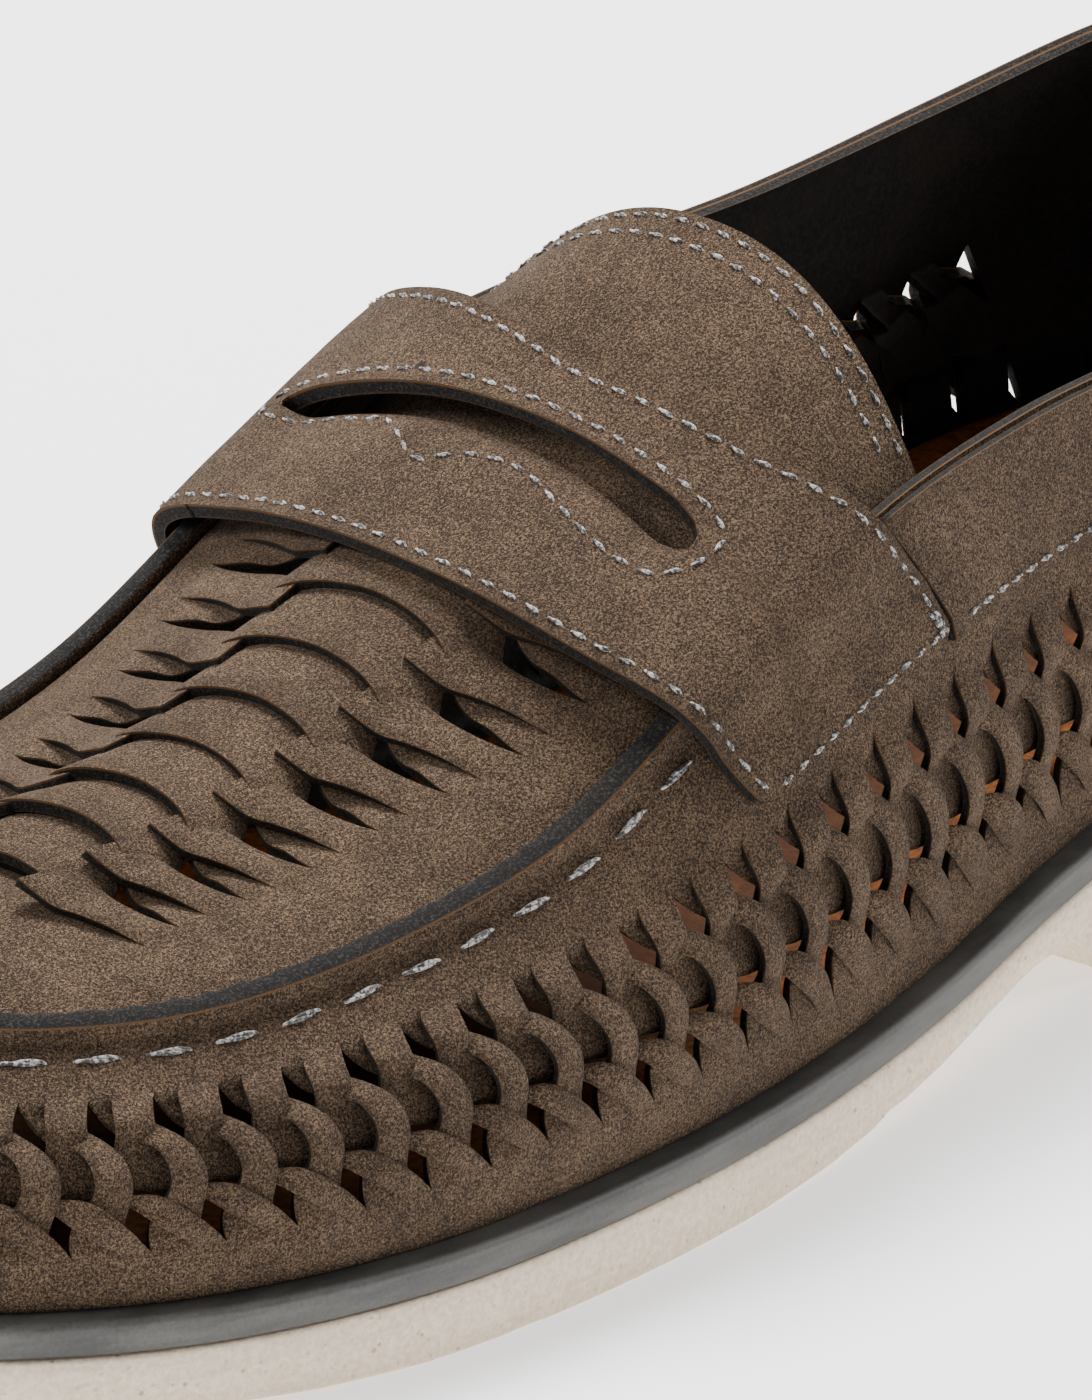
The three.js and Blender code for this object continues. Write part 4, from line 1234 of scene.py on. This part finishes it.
def sew(name, lines, pitch, length, thickness, sway):
    """Stitches along lines. A line is a path on the surface and the surface's direction at its points."""
    points, runs, ups = [], [], []
    for path, facing in lines:
        at, run, share = resampled(path, pitch)
        points.append(at)
        runs.append(run)
        ups.append(unit(between(share, np.linspace(0, 1, len(facing)), facing)))
    mesh = bpy.data.meshes.new(name)
    mesh.from_pydata(((np.vstack(points) - MIDDLE) * MM).tolist(), [], [])
    for key, vectors in (("run", np.vstack(runs)), ("up", np.vstack(ups))):
        layer = mesh.attributes.new(key, "FLOAT_VECTOR", "POINT")
        layer.data.foreach_set("vector", vectors.astype(np.float32).ravel())
    line = bpy.data.objects.new(name, mesh)
    bpy.context.scene.collection.objects.link(line)
    sewing = line.modifiers.new("sewing", "NODES")
    sewing.node_group = STITCH_TREE
    entries = {"Stitch": STITCH, "Length": length * MM, "Thickness": thickness * MM, "Sway": sway,
               "Finish": THREAD}
    for item in STITCH_TREE.interface.items_tree:
        if item.in_out == "INPUT" and item.name in entries:
            sewing[item.identifier] = entries[item.name]
    settled = line.evaluated_get(bpy.context.evaluated_depsgraph_get())
    sewn = bpy.data.meshes.new_from_object(settled)
    line.modifiers.clear()
    line.data = sewn
    sewn.name = name
    for key in ("run", "up"):
        if key in sewn.attributes:
            sewn.attributes.remove(sewn.attributes[key])
    return line


THREAD_LIFT = 0.12  # thread's middle above the leather


def strap_line(backs, shares):
    """A line to sew on the strap."""
    backs, shares = np.broadcast_arrays(np.asarray(backs, float), np.asarray(shares, float))
    path = strap_outer(backs, shares)
    facing = unit(path - strap_under(backs, shares) + UP * 0.5)
    return path + facing * 0.1, facing


# The sewing round the slot, in order: place towards the heel, and share along the strap
SLOT_SEWING = np.array([[141.0, 0.53], [140.6, 0.45], [140.8, 0.36], [141.0, 0.27], [140.2, 0.235],
                        [138.0, 0.19], [136.2, 0.15], [135.4, 0.11], [136.6, 0.08], [138.0, 0.04],
                        [138.7, -0.015], [138.8, -0.065], [138.0, -0.13], [137.0, -0.17],
                        [135.9, -0.23], [135.2, -0.28], [135.1, -0.335], [136.0, -0.40],
                        [138.6, -0.435], [141.6, -0.452], [144.2, -0.45], [145.6, -0.41],
                        [145.5, -0.30], [145.4, -0.15], [145.5, 0.0], [145.7, 0.15], [145.8, 0.30],
                        [145.7, 0.45], [144.6, 0.53], [142.6, 0.545], [141.0, 0.53]])


def strap_stitches():
    """Along both edges, both ends and round the slot."""
    inset = 1.5
    s = np.linspace(-1, 1, 160)
    lines = [strap_line(strap_edge("front", s) + inset, s), strap_line(strap_edge("rear", s) - inset, s)]
    for end in (-1, 1):
        backs = np.linspace(strap_edge("front", end) + 3, strap_edge("rear", end) - 2, 40)
        lines.append(strap_line(backs, np.full(40, end * (STRAP_REACH - 0.035))))
    loop = smooth_table(SLOT_SEWING, 180)
    lines.append(strap_line(loop[:, 0], loop[:, 1]))
    return sew("strap_stitches", lines, pitch=3.2, length=2.6, thickness=0.56, sway=0.15)


def strap_tacks():
    """Close stitches that hold the strap's rear corners."""
    lines = []
    for end in (-1, 1):
        s = end * np.linspace(0.93, STRAP_REACH - 0.03, 24)
        for inset in (1.2, 1.9):
            lines.append(strap_line(strap_edge("rear", s) - inset, s))
    return sew("strap_tacks", lines, pitch=1.1, length=2.0, thickness=0.6, sway=0.5)


def tongue_stitches():
    """Two rows along the tongue's rear edge."""
    lines = []
    for inset in (1.3, 4.2):
        t = np.linspace(-0.97 + inset * 0.01, 0.97 - inset * 0.01, 120)
        share = 1 - inset / (tongue_end(t) - THROAT)
        facing = turned_to(facing_of(tongue_place, share, t), UP)
        lines.append((tongue_place(share, t) + facing * THREAD_LIFT, facing))
    return sew("tongue_stitches", lines, pitch=3.0, length=2.4, thickness=0.56, sway=0.15)


def band_stitches():
    """One row along the band's lower edge."""
    turn = np.linspace(-0.985, 0.985, 260)
    v = np.full(260, 0.685)
    facing = turned_to(facing_of(band_place, turn, v), band_outward(turn))
    lines = [(band_place(turn, v) + facing * THREAD_LIFT, facing)]
    return sew("collar_stitches", lines, pitch=3.2, length=2.7, thickness=0.62, sway=0.1)


def seam_stitches():
    """Long two-ply stitches below the raised seam."""
    row = np.linspace(-row_at(THROAT + 2), row_at(THROAT + 2), 300)
    v = np.full(300, 0.915)
    facing = wall_normal(row, v)
    lines = [(wall(row, v) + facing * (MARGIN_RAISE + THREAD_LIFT), facing)]
    return sew("seam_stitches", lines, pitch=8.6, length=6.9, thickness=0.9, sway=0.08)


STITCH_TREE = stitch_tree()
STITCH = stitch_shape()

PIECES = [
    (build_upper(), ["upper"], "suede"),
    (build_strap(), ["strap"], "suede"),
    (build_tongue(), ["tongue"], "suede"),
    (build_band(), ["collar_band"], "suede"),
    (build_midsole(), ["midsole"], "dark_rubber"),
    (build_outsole(), ["outsole"], "cream_rubber"),
    (build_insole(), ["insole"], "tan_leather"),
    (strap_stitches(), [], "thread"),
    (strap_tacks(), [], "thread"),
    (tongue_stitches(), [], "thread"),
    (band_stitches(), [], "thread"),
    (seam_stitches(), [], "thread"),
]
for piece, nodes, slot in PIECES:
    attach(piece, "root")
    if nodes:
        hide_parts(*nodes)
bpy.data.objects.remove(STITCH)
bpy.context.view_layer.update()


# Floor, lights and camera
FLOOR_HALF = 6.0  # metres
FLOOR_GLOW = 0.75
WORLD_GLOW = 0.26
LIGHT_AIM = (0, 0, 0.04)
# Name, place in metres, size and power
LIGHTS = [
    ("key", (0.75, 0.65, 1.7), 0.8, 92),
    ("side", (1.3, -0.9, 1.0), 0.8, 16),
    ("front", (-1.3, 0.9, 1.5), 1.2, 50),
]
CAMERA_TURN = math.radians(-50.735)
CAMERA_RISE = math.radians(23.322)
CAMERA_ROLL = math.radians(2.387)
CAMERA_FAR = 2243.5  # from the target
PIXELS = 8.971  # of the photograph, for a millimetre at the target
FRAME_WIDTH = 1092  # pixels
SENSOR = 36  # its width in the camera
TARGET = np.array([-35.0, -5.0, 60.0])
OFF_CENTRE = (-165.28, -57.86)  # pixels from the photograph's middle to the target


def floor_finish():
    f = Finish("pale_floor", Specular_IOR_Level=0.2, Emission_Color=(1, 1, 1, 1),
               Emission_Strength=FLOOR_GLOW)
    grain = f.noise(30.0, 2.0)
    return f.wear(f.mix(grain, (247, 247, 247), (249, 249, 249)), 0.9, None)


def add_floor():
    h = FLOOR_HALF
    mesh = bpy.data.meshes.new("floor")
    mesh.from_pydata([(-h, -h, 0), (h, -h, 0), (h, h, 0), (-h, h, 0)], [], [(0, 1, 2, 3)])
    mesh.materials.append(floor_finish())
    floor = bpy.data.objects.new("floor", mesh)
    bpy.context.scene.collection.objects.link(floor)


def add_light(name, place, size, power):
    lamp = bpy.data.lights.new(name, "AREA")
    lamp.shape = "SQUARE"
    lamp.size = size
    lamp.energy = power
    light = bpy.data.objects.new(name, lamp)
    light.location = place
    light.rotation_euler = (Vector(LIGHT_AIM) - Vector(place)).to_track_quat("-Z", "Y").to_euler()
    bpy.context.scene.collection.objects.link(light)


def add_world():
    world = bpy.data.worlds.new("studio")
    world.use_nodes = True
    background = world.node_tree.nodes["Background"]
    background.inputs["Color"].default_value = (1, 1, 1, 1)
    background.inputs["Strength"].default_value = WORLD_GLOW
    bpy.context.scene.world = world


def camera_axes():
    """The camera's right, up and back directions."""
    a, e = CAMERA_TURN, CAMERA_RISE
    right = np.array([math.cos(a), math.sin(a), 0])
    back = np.array([math.sin(a) * math.cos(e), -math.cos(a) * math.cos(e), math.sin(e)])
    up = np.cross(back, right)
    c, s = math.cos(CAMERA_ROLL), math.sin(CAMERA_ROLL)
    return c * right + s * up, c * up - s * right, back


def add_camera():
    right, up, back = camera_axes()
    eye = (TARGET - MIDDLE) + back * CAMERA_FAR
    aim = (TARGET - MIDDLE) - right * (OFF_CENTRE[0] / PIXELS) + up * (OFF_CENTRE[1] / PIXELS)
    look = unit(eye - aim)
    side = unit(right - look * (right @ look))
    top = np.cross(look, side)
    lens = bpy.data.cameras.new("camera")
    lens.sensor_fit = "HORIZONTAL"
    lens.sensor_width = SENSOR
    lens.lens = PIXELS * CAMERA_FAR / FRAME_WIDTH * SENSOR
    lens.clip_start = 0.05
    lens.clip_end = 60
    camera = bpy.data.objects.new("camera", lens)
    matrix = np.vstack([np.column_stack([side, top, look, eye * MM]), [0, 0, 0, 1]])
    camera.matrix_world = Matrix(matrix.tolist())
    bpy.context.scene.collection.objects.link(camera)
    bpy.context.scene.camera = camera


add_floor()
add_world()
for light in LIGHTS:
    add_light(*light)
add_camera()
